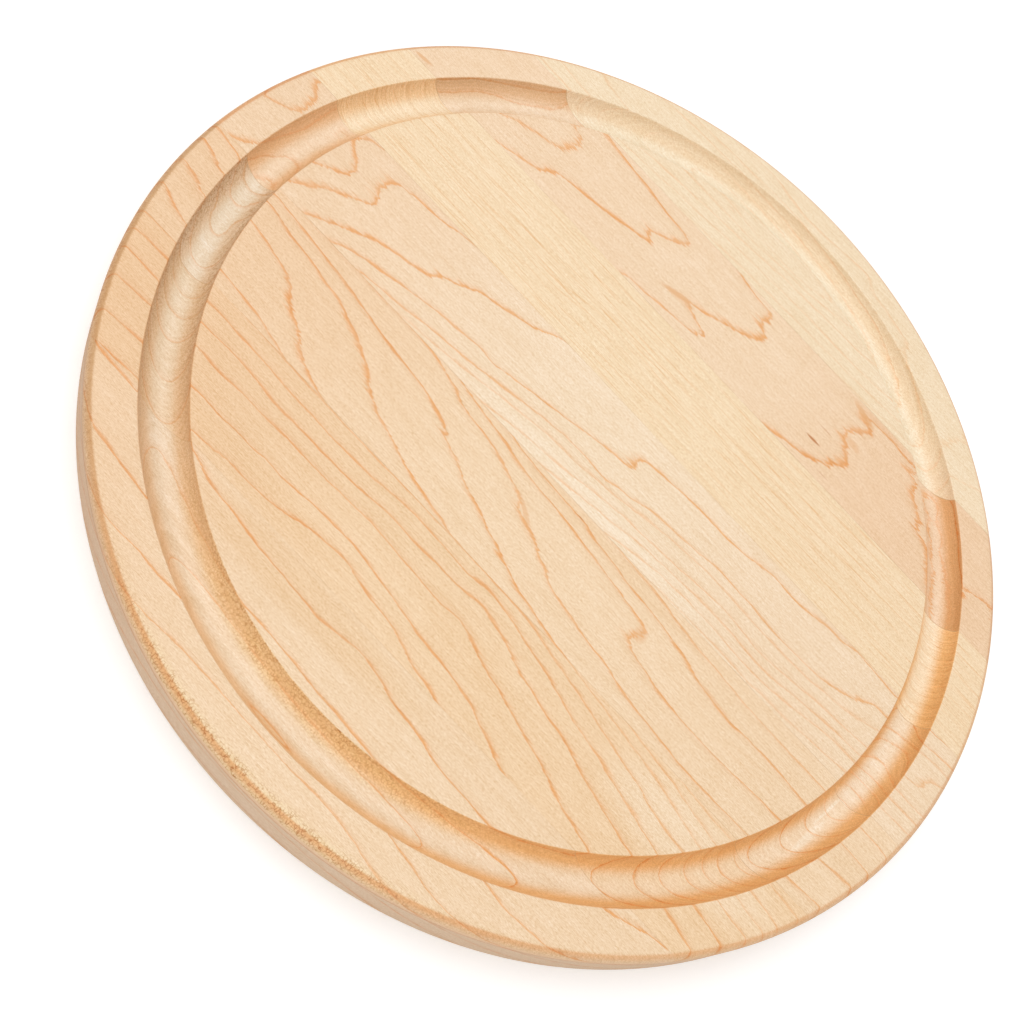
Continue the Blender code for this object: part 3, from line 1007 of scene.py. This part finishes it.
def make_glue_line():
    """1 within a hair of either joint plane, broken up along the board."""
    tree, given, result = new_group(
        "glue_line", [("Place", "place"), *numbers_named(*JOINT_INPUTS)], numbers_named("Glue")
    )
    y = parts_of(tree, given["Place"])[1]
    total = 0.0
    for title, strength in (("Back Joint", "Back Glue"), ("Front Joint", "Front Glue")):
        gap = calc(tree, "ABSOLUTE", calc(tree, "SUBTRACT", y, given[title]))
        near = product(tree, fade(tree, gap, GLUE_BEGINS, GLUE_ENDS, 1.0, 0.0), given[strength])
        total = calc(tree, "ADD", total, near)
    broken = fade(tree, noise(tree, given["Place"], GLUE_SPOTS, detail=3), *GLUE_BROKEN)
    put(tree, product(tree, total, broken), result["Glue"])
    return tree


def make_streak():
    """A lens: 1 while (x/length)^2 + (y/width)^2 + (z/depth)^2 is small, 0 where it reaches 1."""
    tree, given, result = new_group(
        "streak",
        [("Place", "place"), ("Middle", "place"), *numbers_named("Length", "Width", "Slant", "Fray")],
        numbers_named("Streak"),
    )
    offset = tree.nodes.new("ShaderNodeVectorMath")
    offset.operation = "SUBTRACT"
    put(tree, given["Place"], offset.inputs[0])
    put(tree, given["Middle"], offset.inputs[1])
    x, y, z = parts_of(tree, offset.outputs[0])
    across = calc(tree, "SUBTRACT", y, product(tree, x, given["Slant"]))
    across = climb(tree, swing(tree, given["Place"], FRAY_SPOTS), given["Fray"], across)
    square = 0.0
    for distance, reach in ((x, given["Length"]), (across, given["Width"]), (z, STREAK_DEPTH)):
        share = calc(tree, "DIVIDE", distance, reach)
        square = climb(tree, share, share, square)
    put(tree, fade(tree, square, STREAK_SOLID, STREAK_GONE, 1.0, 0.0), result["Streak"])
    return tree


glue_line = make_glue_line()
streak = make_streak()
print(glue_line.name, streak.name)

# %% [markdown]
# ## Oiled maple
#
# All seven staves are the same kind of wood under the same oil, cut from different boards. So the
# finish is one group that puts the lines, fibres, rays and glue together, and each stave's material
# places it with its own colours and strengths. The group hands back a colour, a roughness and a
# height; the shader itself stays in the material. Nearly every step multiplies the colour by a tint,
# as oil and late wood do: they take light away and leave the figure below them visible. Some tints
# are painted light: shade on the groove's walls and the side, a highlight on its floor, and cool
# light at the left.

# %% What each stave can set
WOOD_INPUTS = [
    *((title, "colour") for title in ("Wood", "Line Colour", "Halo Colour", "End Colour")),
    *numbers_named("Line", "Halo", "Feather", "Wander", "Width", "Halo Width"),
    *numbers_named("Bands", "Drift", "Dashes", "Pores", "End Grain", "Groove Shade And Oil"),
    *numbers_named("Left Warmth", "Right Warmth", "Left Grey", "Rays", "Ray Lean", *JOINT_INPUTS),
]


def attribute(tree, title):
    """The number of that name stored on the mesh."""
    node = tree.nodes.new("ShaderNodeAttribute")
    node.attribute_name = title
    return node.outputs["Fac"]


def place_in_mm(tree):
    """Object coordinates in millimetres."""
    coordinates = tree.nodes.new("ShaderNodeTexCoord")
    scale = tree.nodes.new("ShaderNodeVectorMath")
    scale.operation = "SCALE"
    tree.links.new(coordinates.outputs["Object"], scale.inputs[0])
    scale.inputs["Scale"].default_value = 1 / MM
    return scale.outputs[0]


# %% What the group knows at each point
# Soft steps in X, in millimetres: from, to, and the values before and after.
RAYS_TO_THE_LEFT = (-95, -20, 0.25, 1.0)
RAYS_TO_THE_RIGHT = (20, 80, 1.0, 0.3)
LEFT_END = (-140, -40, 1.0, 0.0)
LINE_WIDTH_IN_GROOVE = -0.15
END_GRAIN_POWER = 1.5


def known_facts(tree, given):
    """The place, the numbers stored on the mesh and the other groups' results, by name."""
    at = SimpleNamespace(place=place_in_mm(tree))
    at.x = parts_of(tree, at.place)[0]
    for title in ("hollow", "steep", "edge", "side", "ink"):
        setattr(at, title, attribute(tree, title))
    at.end = calc(tree, "POWER", attribute(tree, "end_grain"), END_GRAIN_POWER)
    # Where the front staves take painted cool light at the left, and stronger woolly scales.
    at.left = product(tree, fade(tree, at.x, *LEFT_END), given["Left Grey"])
    width = product(tree, given["Width"], climb(tree, at.hollow, LINE_WIDTH_IN_GROOVE, 1.0))
    at.lines = use_group(tree, growth_lines, {
        "Place": at.place, "Width": width, "Halo": given["Halo Width"],
        "Feather": given["Feather"], "Wander": given["Wander"],
        **{title: attribute(tree, title.lower()) for title in ("Ring", "Along", "Pace")}})
    at.fibre = use_group(tree, fibres, {"Place": at.place, "Ring": at.lines["Ring"]})
    at.ray = use_group(tree, rays, {
        "Place": at.place, "Lean": given["Ray Lean"], "Quarter": attribute(tree, "quarter")})
    at.glue = use_group(tree, glue_line, {
        "Place": at.place, **{title: given[title] for title in JOINT_INPUTS}})["Glue"]
    ends = product(tree, fade(tree, at.x, *RAYS_TO_THE_LEFT), fade(tree, at.x, *RAYS_TO_THE_RIGHT))
    at.ground = product(tree, at.ray["Ground"], given["Rays"], ends)
    return at


# %% [markdown]
# The bare wood comes first. Its tone swings a little with the bands, the drift and the fibres, and a
# darker tone of maple is also redder, so the swing is weaker in red and stronger in blue. Bands are
# much plainer in the groove and on end grain, where the oil goes in further.

# %% The bare wood
BANDS_ON_END_GRAIN, BANDS_IN_GROOVE = 4.0, 2.5
RED_SWING, BLUE_SWING = 0.6, 1.7
PORE_COLOUR = (0.92, 0.77, 0.60, 1)


def bare_wood(tree, given, at):
    """Wood * tone, where tone = 1 + bands + drift + dashes, and pores over it."""
    plainer = climb(tree, at.end, BANDS_ON_END_GRAIN, climb(tree, at.hollow, BANDS_IN_GROOVE, 1.0))
    tone = climb(tree, at.fibre["Bands"], product(tree, given["Bands"], plainer), 1.0)
    tone = climb(tree, at.fibre["Drift"], given["Drift"], tone)
    tone = climb(tree, at.fibre["Dashes"], given["Dashes"], tone)
    shade = joined(tree, calc(tree, "POWER", tone, RED_SWING), tone, calc(tree, "POWER", tone, BLUE_SWING))
    colour = tinted(tree, 1.0, given["Wood"], shade)
    return tinted(tree, product(tree, at.fibre["Pores"], given["Pores"]), colour, PORE_COLOUR)


# %% [markdown]
# Growth lines lie over the bare wood, first the halo and then the line. The lines come and go along
# their way, are fainter in the left part of the groove than on the face, and nearly vanish where
# rays show. End grain is browner, and the cut ends of its fibres are seen as dots.

# %% Growth lines and end grain
PATCHY_SPOTS, PATCHY = (24, 6, 6), (0.3, 0.6, 0.65, 1.0)
LINES_IN_GROOVE = (-120, 60, -0.55, 0.15)
LINES_UNDER_RAYS = -0.8
DOT_STRENGTH = 0.28


def with_lines(tree, given, at, colour):
    """The colour with halo and line over it, and the line's strength."""
    halo = product(tree, at.lines["Halo"], at.ink, given["Halo"])
    colour = tinted(tree, halo, colour, given["Halo Colour"])
    patchy = fade(tree, noise(tree, at.place, PATCHY_SPOTS), *PATCHY)
    in_groove = climb(tree, at.hollow, fade(tree, at.x, *LINES_IN_GROOVE), 1.0)
    under_rays = climb(tree, at.ground, LINES_UNDER_RAYS, 1.0)
    line = product(tree, at.lines["Line"], at.ink, given["Line"], patchy, in_groove, under_rays)
    return tinted(tree, line, colour, given["Line Colour"]), line


def with_end_grain(tree, given, at, colour):
    """The colour with brown end grain and its dots over it, and the dots' height."""
    colour = tinted(tree, product(tree, at.end, given["End Grain"]), colour, given["End Colour"])
    dots = product(tree, at.fibre["Dots"], at.end)
    shade = climb(tree, dots, DOT_STRENGTH, 1.0)
    return tinted(tree, 1.0, colour, joined(tree, shade, shade, shade)), dots


# %% [markdown]
# Towards both ends the staves are made warmer, and the groove of the front staves is greyer at the
# left, which is painted cool light. In the groove the walls are a warm brown, which is painted shade
# and partly oil settled there, while the floor is smoother, burnished by the bit, and paler, which is
# a painted highlight.

# %% The ends of the staves and the groove
WARM_LEFT, WARM_RIGHT = (-150, 0, 1.0, 0.0), (15, 95)
WARM_COLOUR = (0.955, 0.875, 0.81, 1)
# Painted light in the groove: a cool tint at the left, a paler floor that is a painted highlight, and warm
# brown walls that are painted shade, partly oil, greyer at the left.
COOL_LIGHT_IN_HOLLOW = (0.92, 0.95, 1.0, 1)
FLOOR_ENDS, WALL_IS_FULL = 0.2, 0.34
FLOOR_HIGHLIGHT = (1.0, 1.08, 1.17, 1)
SHADE_AND_OIL_ALONG = (-60, 110, 0.45, 1.0)
SHADE_AND_OIL_COLOUR = (0.99, 0.76, 0.48, 1)
COOL_SHADE_AND_OIL_COLOUR = (0.87, 0.80, 0.73, 1)


def with_ends(tree, given, at, colour):
    """The colour with warm ends, and painted cool light greying the hollow at the left in place of the
    warmth.
    """
    cool_light_share = product(tree, at.left, at.hollow)
    warm = product(tree, fade(tree, at.x, *WARM_LEFT), given["Left Warmth"])
    warm = climb(tree, fade(tree, at.x, *WARM_RIGHT), given["Right Warmth"], warm)
    warm = product(tree, warm, calc(tree, "SUBTRACT", 1.0, cool_light_share))
    return tinted(tree, cool_light_share, tinted(tree, warm, colour, WARM_COLOUR), COOL_LIGHT_IN_HOLLOW)


def with_groove(tree, given, at, colour):
    """The colour with a painted highlight on the groove's floor and painted shade, partly oil, on its
    walls, and how much of the floor each point is.
    """
    groove_floor = product(tree, dying_out(tree, at.steep, FLOOR_ENDS), at.hollow)
    shade_and_oil = product(tree, fade(tree, at.steep, 0.0, WALL_IS_FULL), given["Groove Shade And Oil"])
    shade_and_oil = product(tree, shade_and_oil, fade(tree, at.x, *SHADE_AND_OIL_ALONG))
    shade_and_oil_colour = mix(tree, at.left, SHADE_AND_OIL_COLOUR, COOL_SHADE_AND_OIL_COLOUR)
    return tinted(tree, shade_and_oil, tinted(tree, groove_floor, colour, FLOOR_HIGHLIGHT), shade_and_oil_colour), groove_floor


# %% [markdown]
# The rounded edge was sanded across the fibres and is browner than the face, most of all where it
# begins to bend, and greyer at the left, which is painted cool light. The side is pinker and darker,
# which is painted shade. Rays come over both: as pale scales with brown borders where they lie in the
# surface, and as a woolly trace of the same scales on steep end grain. The film of glue is over
# everything.

# %% The edge, the side, the rays and the glue
EDGE_BEGINS, EDGE_BENDS = (0.01, 0.1), (0.12, 0.6, 1.0, 0.35)
EDGE_TO_THE_RIGHT = (50, 140, 1.0, 0.65)
EDGE_COLOUR = (0.88, 0.64, 0.45, 1)
# The grey of the edge at the left is painted cool light, and the side's tint is painted shade.
COOL_LIT_EDGE = (0.76, 0.66, 0.53, 1)
SIDE_SHADE = (0.86, 0.84, 0.87, 1)
WOOLLY = (0.03, 0.3, 0.0, 0.9)
WOOLLY_EVERYWHERE, WOOLLY_LEFT = 0.2, 0.8
RAY_COLOUR = (1.02, 1.07, 1.0, 1)
FLECK_COLOUR = (0.60, 0.35, 0.14, 1)
FLECKS_IN_GROOVE, GLUE_IN_GROOVE = -0.35, 0.6
GLUE_COLOUR = (0.60, 0.36, 0.17, 1)


def with_edge(tree, at, colour):
    """The colour with the browner edge, greyed at the left by painted cool light, and the painted shade of
    the side.
    """
    share = product(tree, fade(tree, at.edge, *EDGE_BEGINS), fade(tree, at.edge, *EDGE_BENDS))
    share = product(tree, share, fade(tree, at.x, *EDGE_TO_THE_RIGHT))
    colour = tinted(tree, share, colour, mix(tree, at.left, EDGE_COLOUR, COOL_LIT_EDGE))
    return tinted(tree, at.side, colour, SIDE_SHADE)


def with_rays(tree, at, colour):
    """The colour with the woolly trace, the pale scales and their borders."""
    wall = calc(tree, "MAXIMUM", at.steep, at.edge)
    woolly = product(tree, at.ray["Scales"], at.end, fade(tree, wall, *WOOLLY))
    woolly = product(tree, woolly, climb(tree, at.left, WOOLLY_LEFT, WOOLLY_EVERYWHERE))
    colour = tinted(tree, at.ground, tinted(tree, woolly, colour, FLECK_COLOUR), RAY_COLOUR)
    borders = product(tree, at.ray["Scales"], at.ground, climb(tree, at.hollow, FLECKS_IN_GROOVE, 1.0))
    return tinted(tree, borders, colour, FLECK_COLOUR)


def with_glue(tree, at, colour):
    """The colour with the film of glue, stronger in the groove."""
    film = product(tree, at.glue, climb(tree, at.hollow, GLUE_IN_GROOVE, 1.0))
    return mix(tree, calc(tree, "MINIMUM", film, 1.0), colour, GLUE_COLOUR)


# %% [markdown]
# The finish is satin: end grain is a little rougher, the groove's floor and the hard growth lines are
# smoother. Fibres stand up by a hundredth of a millimetre or so, and the glue joint lies lower.

# %% Roughness and height
SATIN = 0.44
ROUGH_END, ROUGH_DASHES, ROUGH_FLOOR, ROUGH_LINE = 0.12, 0.08, -0.12, -0.05
HIGH_DASHES, HIGH_LINE, HIGH_DOTS, HIGH_GLUE = 0.5, -0.3, 0.8, -1.0


def sum_of(tree, start, *terms):
    """start + value * strength for each of the terms (value, strength)."""
    for value, strength in terms:
        start = climb(tree, value, strength, start)
    return start


def make_oiled_maple():
    """Bare wood under lines, end grain, ends, groove, edge, rays and glue, with roughness and height."""
    tree, given, result = new_group(
        "oiled_maple", WOOD_INPUTS, [("Color", "colour"), *numbers_named("Roughness", "Height")]
    )
    at = known_facts(tree, given)
    dashes = at.fibre["Dashes"]
    colour, line = with_lines(tree, given, at, bare_wood(tree, given, at))
    colour, dots = with_end_grain(tree, given, at, colour)
    colour, groove_floor = with_groove(tree, given, at, with_ends(tree, given, at, colour))
    colour = with_rays(tree, at, with_edge(tree, at, colour))
    put(tree, with_glue(tree, at, colour), result["Color"])
    rough = sum_of(
        tree, SATIN, (at.end, ROUGH_END), (dashes, ROUGH_DASHES), (groove_floor, ROUGH_FLOOR), (line, ROUGH_LINE)
    )
    height = sum_of(
        tree, product(tree, line, HIGH_LINE), (dashes, HIGH_DASHES), (dots, HIGH_DOTS), (at.glue, HIGH_GLUE)
    )
    put(tree, rough, result["Roughness"])
    put(tree, height, result["Height"])
    return tree


oiled_maple = make_oiled_maple()
print("wood group nodes:", len(oiled_maple.nodes))

# %% [markdown]
# ## One material per stave
#
# The staves differ in the board they came from: how pink or yellow it is, how strong and how ragged
# its growth lines are, and how much oil its end grain drank. These are the values that a maker would
# sort boards by, so they are the ones set here. Each stave names only what differs from the rest.

# %% The values of each stave
# The groove value sets the painted shade, partly oil, on each stave's groove walls, and Left Grey the
# painted cool light at the left.
COMMON = {
    "Line Colour": (0.94, 0.605, 0.285, 1), "Halo Colour": (0.965, 0.90, 0.85, 1),
    "End Colour": (0.90, 0.81, 0.69, 1),
    "Line": 1.0, "Halo": 0.8, "Feather": 0.8, "Wander": 1.0, "Width": 0.9, "Halo Width": 3.5,
    "Bands": 0.04, "Drift": 0.045, "Dashes": 0.44, "Pores": 0.2, "End Grain": 0.6, "Groove Shade And Oil": 1.0,
    "Left Warmth": 1.0, "Right Warmth": 0.35, "Left Grey": 0.0, "Rays": 0.0,
    "Back Glue": 0.6, "Front Glue": 0.6,
}
STAVE_VALUES = {
    "stave_1_back_edge": {
        "Wood": (0.915, 0.725, 0.495, 1), "Line": 0.55, "Halo": 0.4, "Feather": 1.2,
        "End Grain": 0.3, "Groove Shade And Oil": 0.0, "Left Warmth": 0.0, "Right Warmth": 0.0},
    "stave_2_flame_grain": {
        "Wood": (0.910, 0.680, 0.460, 1), "Feather": 1.3, "Width": 1.1, "Halo Width": 5.0,
        "End Colour": (0.82, 0.77, 0.68, 1), "End Grain": 1.1, "Groove Shade And Oil": 0.8,
        "Left Warmth": 0.25, "Right Warmth": 0.8},
    "stave_3_quarter_sawn": {
        "Wood": (0.930, 0.718, 0.475, 1), "Line": 0.7, "Halo": 0.3, "Feather": 0.6, "Width": 0.6,
        "Line Colour": (0.90, 0.70, 0.44, 1), "Bands": 0.05, "Pores": 0.9, "End Grain": 0.45,
        "Left Warmth": 0.1, "Right Warmth": 0.2, "Rays": 0.12, "Back Glue": 0.9},
    "stave_4_centre": {"Wood": (0.920, 0.720, 0.505, 1), "Line": 0.9, "End Grain": 0.9},
    "stave_5_slanting_grain": {
        "Wood": (0.895, 0.665, 0.435, 1), "Feather": 1.1, "Right Warmth": 0.1, "Left Grey": 1.0,
        "Front Glue": 0.5},
    "stave_6_wavy_grain": {
        "Wood": (0.876, 0.624, 0.382, 1), "Right Warmth": 0.0, "Left Grey": 1.0,
        "Back Glue": 0.5, "Front Glue": 0.35},
    "stave_7_front_edge": {
        "Wood": (0.880, 0.645, 0.418, 1), "Left Warmth": 0.8, "Right Warmth": 0.0, "Left Grey": 1.0,
        "Rays": 1.0, "Back Glue": 0.35},
}
print("values shared by all staves:", len(COMMON))

# %% Building and placing the materials
BUMP_STRENGTH = 0.35
BUMP_DISTANCE = 0.12 * MM
OIL_IOR = 1.46


def wood_material(name, back, front):
    """The wood group with one stave's values, feeding a satin Principled shader."""
    material = bpy.data.materials.new(name + "_oiled")
    material.use_nodes = True
    tree = material.node_tree
    shader = tree.nodes["Principled BSDF"]
    own = {"Ray Lean": RAY_LEAN[name], "Back Joint": back, "Front Joint": front}
    wood = use_group(tree, oiled_maple, {**COMMON, **STAVE_VALUES[name], **own})
    put(tree, wood["Color"], shader.inputs["Base Color"])
    put(tree, wood["Roughness"], shader.inputs["Roughness"])
    bump = tree.nodes.new("ShaderNodeBump")
    bump.inputs["Strength"].default_value = BUMP_STRENGTH
    bump.inputs["Distance"].default_value = BUMP_DISTANCE
    put(tree, wood["Height"], bump.inputs["Height"])
    put(tree, bump.outputs["Normal"], shader.inputs["Normal"])
    shader.inputs["IOR"].default_value = OIL_IOR
    return material, wood, shader


finishes = {}
for name, back, front in zip(STAVES, EDGES[:-1], EDGES[1:]):
    finishes[name] = wood_material(name, back, front)
    pieces[name].data.materials.append(finishes[name][0])

# %% [markdown]
# ## The streaks in single staves
#
# Beside the flames the real board has small dark mineral specks and rusty patches, which lie over the
# growth lines. Some staves also have a broad pale or honey-coloured area, which is the wood's own
# tone and lies under the lines. Two small pale lenses on the floor of the groove are painted
# highlights, laid under the lines in the same way. Each of them is one lens, and each stave names its
# own.

# %% The streaks
# Each row: the middle in X, Y and Z, half the length and half the width in millimetres, slant, fray,
# strength and colour.
FACE = THICKNESS
MINERAL = (0.55, 0.20, 0.05, 1)
RUST = (0.80, 0.44, 0.20, 1)
PALE = (0.94, 0.77, 0.57, 1)
HONEY = (0.83, 0.56, 0.31, 1)
UNDER_THE_LINES = {
    "stave_4_centre": [((15, -19, FACE), 95, 11, 0, 2, 0.6, PALE)],
    "stave_5_slanting_grain": [
        ((20, -25, FACE), 60, 4.5, -0.03, 3, 0.35, HONEY),
        # The next two pale lenses, on the groove's floor, are painted highlights.
        ((143.3, -41.8, 12.6), 2.4, 9, 3.4, 1, 0.8, PALE),
        ((143.8, -26, 12.6), 2, 5, 6, 1, 0.8, PALE),
    ],
    "stave_6_wavy_grain": [
        ((-65, -103, FACE), 50, 7, 0, 2, 0.45, HONEY),
        ((20, -90, FACE), 35, 8, -0.15, 2, 0.4, HONEY),
        ((112, -80, FACE), 45, 16, 0, 2, 0.4, PALE),
    ],
    "stave_7_front_edge": [((-30, -118, FACE), 65, 10, 0, 2, 0.55, HONEY)],
}
OVER_THE_LINES = {
    "stave_1_back_edge": [
        ((-32, 131.5, FACE), 2.5, 0.6, 0, 0.6, 0.3, RUST),
        ((-23, 145, FACE), 2, 0.6, 0, 0.6, 0.3, RUST),
    ],
    "stave_2_flame_grain": [
        ((53.5, 78, FACE), 4.5, 0.7, 0, 0.7, 0.9, MINERAL),
        ((54.5, 86, FACE), 4, 0.35, 0, 0.4, 0.35, MINERAL),
        ((65, 69, FACE), 3.5, 0.35, 0, 0.4, 0.35, MINERAL),
        ((-150, 67.5, FACE), 5, 1.1, 0.1, 1, 0.75, RUST),
        ((-21, 78, FACE), 11, 1.8, 0.15, 2.5, 0.3, RUST),
        ((-21, 78.8, FACE), 7.5, 1.7, 0.27, 1, 0.75, RUST),
        ((62, 106, FACE), 8, 2, -0.28, 1.6, 0.75, RUST),
        ((66, 91, FACE), 5, 2.2, -0.2, 3, 0.5, RUST),
        ((70, 108.5, FACE), 22, 2, 0, 2, 0.2, RUST),
    ],
    "stave_5_slanting_grain": [
        ((14, -24, FACE), 2, 0.35, 0, 0.4, 0.7, MINERAL),
        ((0, -39, FACE), 7, 1.5, -0.62, 1.5, 0.55, RUST),
        ((55.5, -39, FACE), 3.2, 3.8, 0, 3, 0.5, RUST),
        ((89, -35.6, FACE), 11, 1.2, -0.12, 1.5, 0.45, RUST),
    ],
}


def with_lenses(tree, place, colour, rows):
    """The colour with each lens of the rows mixed over it in turn."""
    for middle, length, width, slant, fray, strength, tint in rows:
        mask = use_group(tree, streak, {
            "Place": place, "Middle": middle, "Length": length, "Width": width,
            "Slant": slant, "Fray": fray})
        colour = mix(tree, product(tree, mask["Streak"], strength), colour, tint)
    return colour


def add_streaks(material, wood, shader, under, over):
    """Lenses under the growth lines, most in the wood's own tone and some painted highlights, and lenses
    over the finished colour.
    """
    tree = material.node_tree
    place = place_in_mm(tree)
    tone = wood["Color"].node.inputs["Wood"]
    put(tree, with_lenses(tree, place, tuple(tone.default_value), under), tone)
    put(tree, with_lenses(tree, place, wood["Color"], over), shader.inputs["Base Color"])


for name in sorted({*UNDER_THE_LINES, *OVER_THE_LINES}):
    under, over = UNDER_THE_LINES.get(name, []), OVER_THE_LINES.get(name, [])
    add_streaks(*finishes[name], under, over)
    print(name, "streaks:", len(under) + len(over))

# %% [markdown]
# ## The table, the light and the camera
#
# The board lies on a plain white table in soft daylight. The strongest light comes from behind on the
# left and from above, which is what shades the outer wall of the groove at the back left and its
# inner wall at the front. The table is as white as the background where the camera sees it lit, and
# still takes the board's shadow: a little light of its own is added to what the camera sees of it.
# A camera below the table looks through it. Rays shorter than a millimetre and a half go through it
# too, and so does the light that starts that close to it, so that the underside isn't black.

# %% The table
FLOOR_DROP = 0.2 * MM
HALF_TABLE = 3.0
UNDER_REACH = 1.5 * MM
TABLE_WHITE = (0.86, 0.86, 0.86, 1)
TABLE_GLOW = 0.30


def table_look(tree):
    """White with a glow for the camera alone, and clear from below and within UNDER_REACH."""
    tree.nodes.remove(tree.nodes["Principled BSDF"])
    diffuse = tree.nodes.new("ShaderNodeBsdfDiffuse")
    diffuse.inputs["Color"].default_value = TABLE_WHITE
    path = tree.nodes.new("ShaderNodeLightPath").outputs
    glow = tree.nodes.new("ShaderNodeEmission")
    put(tree, product(tree, path["Is Camera Ray"], TABLE_GLOW), glow.inputs["Strength"])
    lit = tree.nodes.new("ShaderNodeAddShader")
    put(tree, diffuse.outputs[0], lit.inputs[0])
    put(tree, glow.outputs[0], lit.inputs[1])
    behind = tree.nodes.new("ShaderNodeNewGeometry").outputs["Backfacing"]
    from_below = product(tree, path["Is Camera Ray"], behind)
    close = calc(tree, "LESS_THAN", path["Ray Length"], UNDER_REACH)
    look = tree.nodes.new("ShaderNodeMixShader")
    put(tree, calc(tree, "MAXIMUM", from_below, close), look.inputs[0])
    put(tree, lit.outputs[0], look.inputs[1])
    put(tree, tree.nodes.new("ShaderNodeBsdfTransparent").outputs[0], look.inputs[2])
    put(tree, look.outputs[0], tree.nodes["Material Output"].inputs["Surface"])


def white_table():
    """One large square just under the board."""
    signs = ((-1, -1), (1, -1), (1, 1), (-1, 1))
    corners = [(x * HALF_TABLE, y * HALF_TABLE, -FLOOR_DROP) for x, y in signs]
    mesh = bpy.data.meshes.new("table_top")
    mesh.from_pydata(corners, [], [(0, 1, 2, 3)])
    material = bpy.data.materials.new("white_table")
    material.use_nodes = True
    table_look(material.node_tree)
    mesh.materials.append(material)
    table = bpy.data.objects.new("table_top", mesh)
    bpy.context.scene.collection.objects.link(table)


white_table()
print("table side:", 2 * HALF_TABLE, "m")

# %% The light
WORLD_LIGHT = 0.55
WHITE = (1, 1, 1, 1)
# Place and size in metres, power in watts, and colour.
LAMPS = {
    "window": ((-0.75, 0.60, 2.85), 2.4, 36.1, (1.0, 0.985, 0.96)),
    "reflector": ((0.5, -1.9, 1.5), 1.6, 13.2, (1.0, 1.0, 1.0)),
}


def soft_world():
    """WORLD_LIGHT on the board, and plain white to the camera, in gloss and through glass."""
    world = bpy.data.worlds.new("studio")
    world.use_nodes = True
    tree = world.node_tree
    sky = tree.nodes["Background"]
    sky.inputs["Color"].default_value = WHITE
    path = tree.nodes.new("ShaderNodeLightPath").outputs
    direct = calc(tree, "MAXIMUM", path["Is Camera Ray"], path["Is Transmission Ray"])
    direct = calc(tree, "MAXIMUM", direct, path["Is Glossy Ray"])
    put(tree, climb(tree, direct, 1 - WORLD_LIGHT, WORLD_LIGHT), sky.inputs["Strength"])
    bpy.context.scene.world = world


def lamp(name, place, size, power, colour):
    """A square soft box at a place in metres that faces the middle of the board."""
    light = bpy.data.lights.new(name, "AREA")
    light.size = size
    light.energy = power
    light.color = colour
    obj = bpy.data.objects.new(name, light)
    obj.location = place
    obj.rotation_euler = (-Vector(place)).to_track_quat("-Z", "Y").to_euler()
    bpy.context.scene.collection.objects.link(obj)


soft_world()
for name, values in LAMPS.items():
    lamp(name, *values)
    print(name, "gives", values[2], "W")

# %% The camera
# Fitted to the outline of the board and both edges of its groove. The lens is in millimetres and the
# angles are in radians. Distances are in radii of the board, from the middle of its face.
LENS = 51.22
ROLL = math.radians(45.477)
ELEVATION = math.radians(56.905)
TURN = math.radians(1.52)
DISTANCE = 2.9485
ASIDE, ABOVE = -0.0258, -0.2076


def photo_camera():
    """Looks down at the board from the front, with its top tilted to the left of the picture."""
    back = Vector((0, -math.cos(ELEVATION), math.sin(ELEVATION)))
    right = Vector((1, 0, 0))
    up = Vector((0, math.sin(ELEVATION), math.cos(ELEVATION)))
    place = back * DISTANCE + right * ASIDE + up * ABOVE
    across = right * math.cos(ROLL) + up * math.sin(ROLL)
    upward = up * math.cos(ROLL) - right * math.sin(ROLL)
    turn = Matrix.Rotation(TURN, 4, "Z")
    camera = bpy.data.objects.new("camera", bpy.data.cameras.new("camera"))
    camera.data.lens = LENS
    camera.matrix_world = turn @ Matrix((across, upward, back)).transposed().to_4x4()
    camera.location = turn @ place * (RADIUS * MM)
    camera.location.z += THICKNESS * MM
    bpy.context.scene.collection.objects.link(camera)
    bpy.context.scene.camera = camera
    return camera


camera = photo_camera()
bpy.context.scene.view_settings.view_transform = "Standard"
print("camera at", [round(value, 4) for value in camera.location])
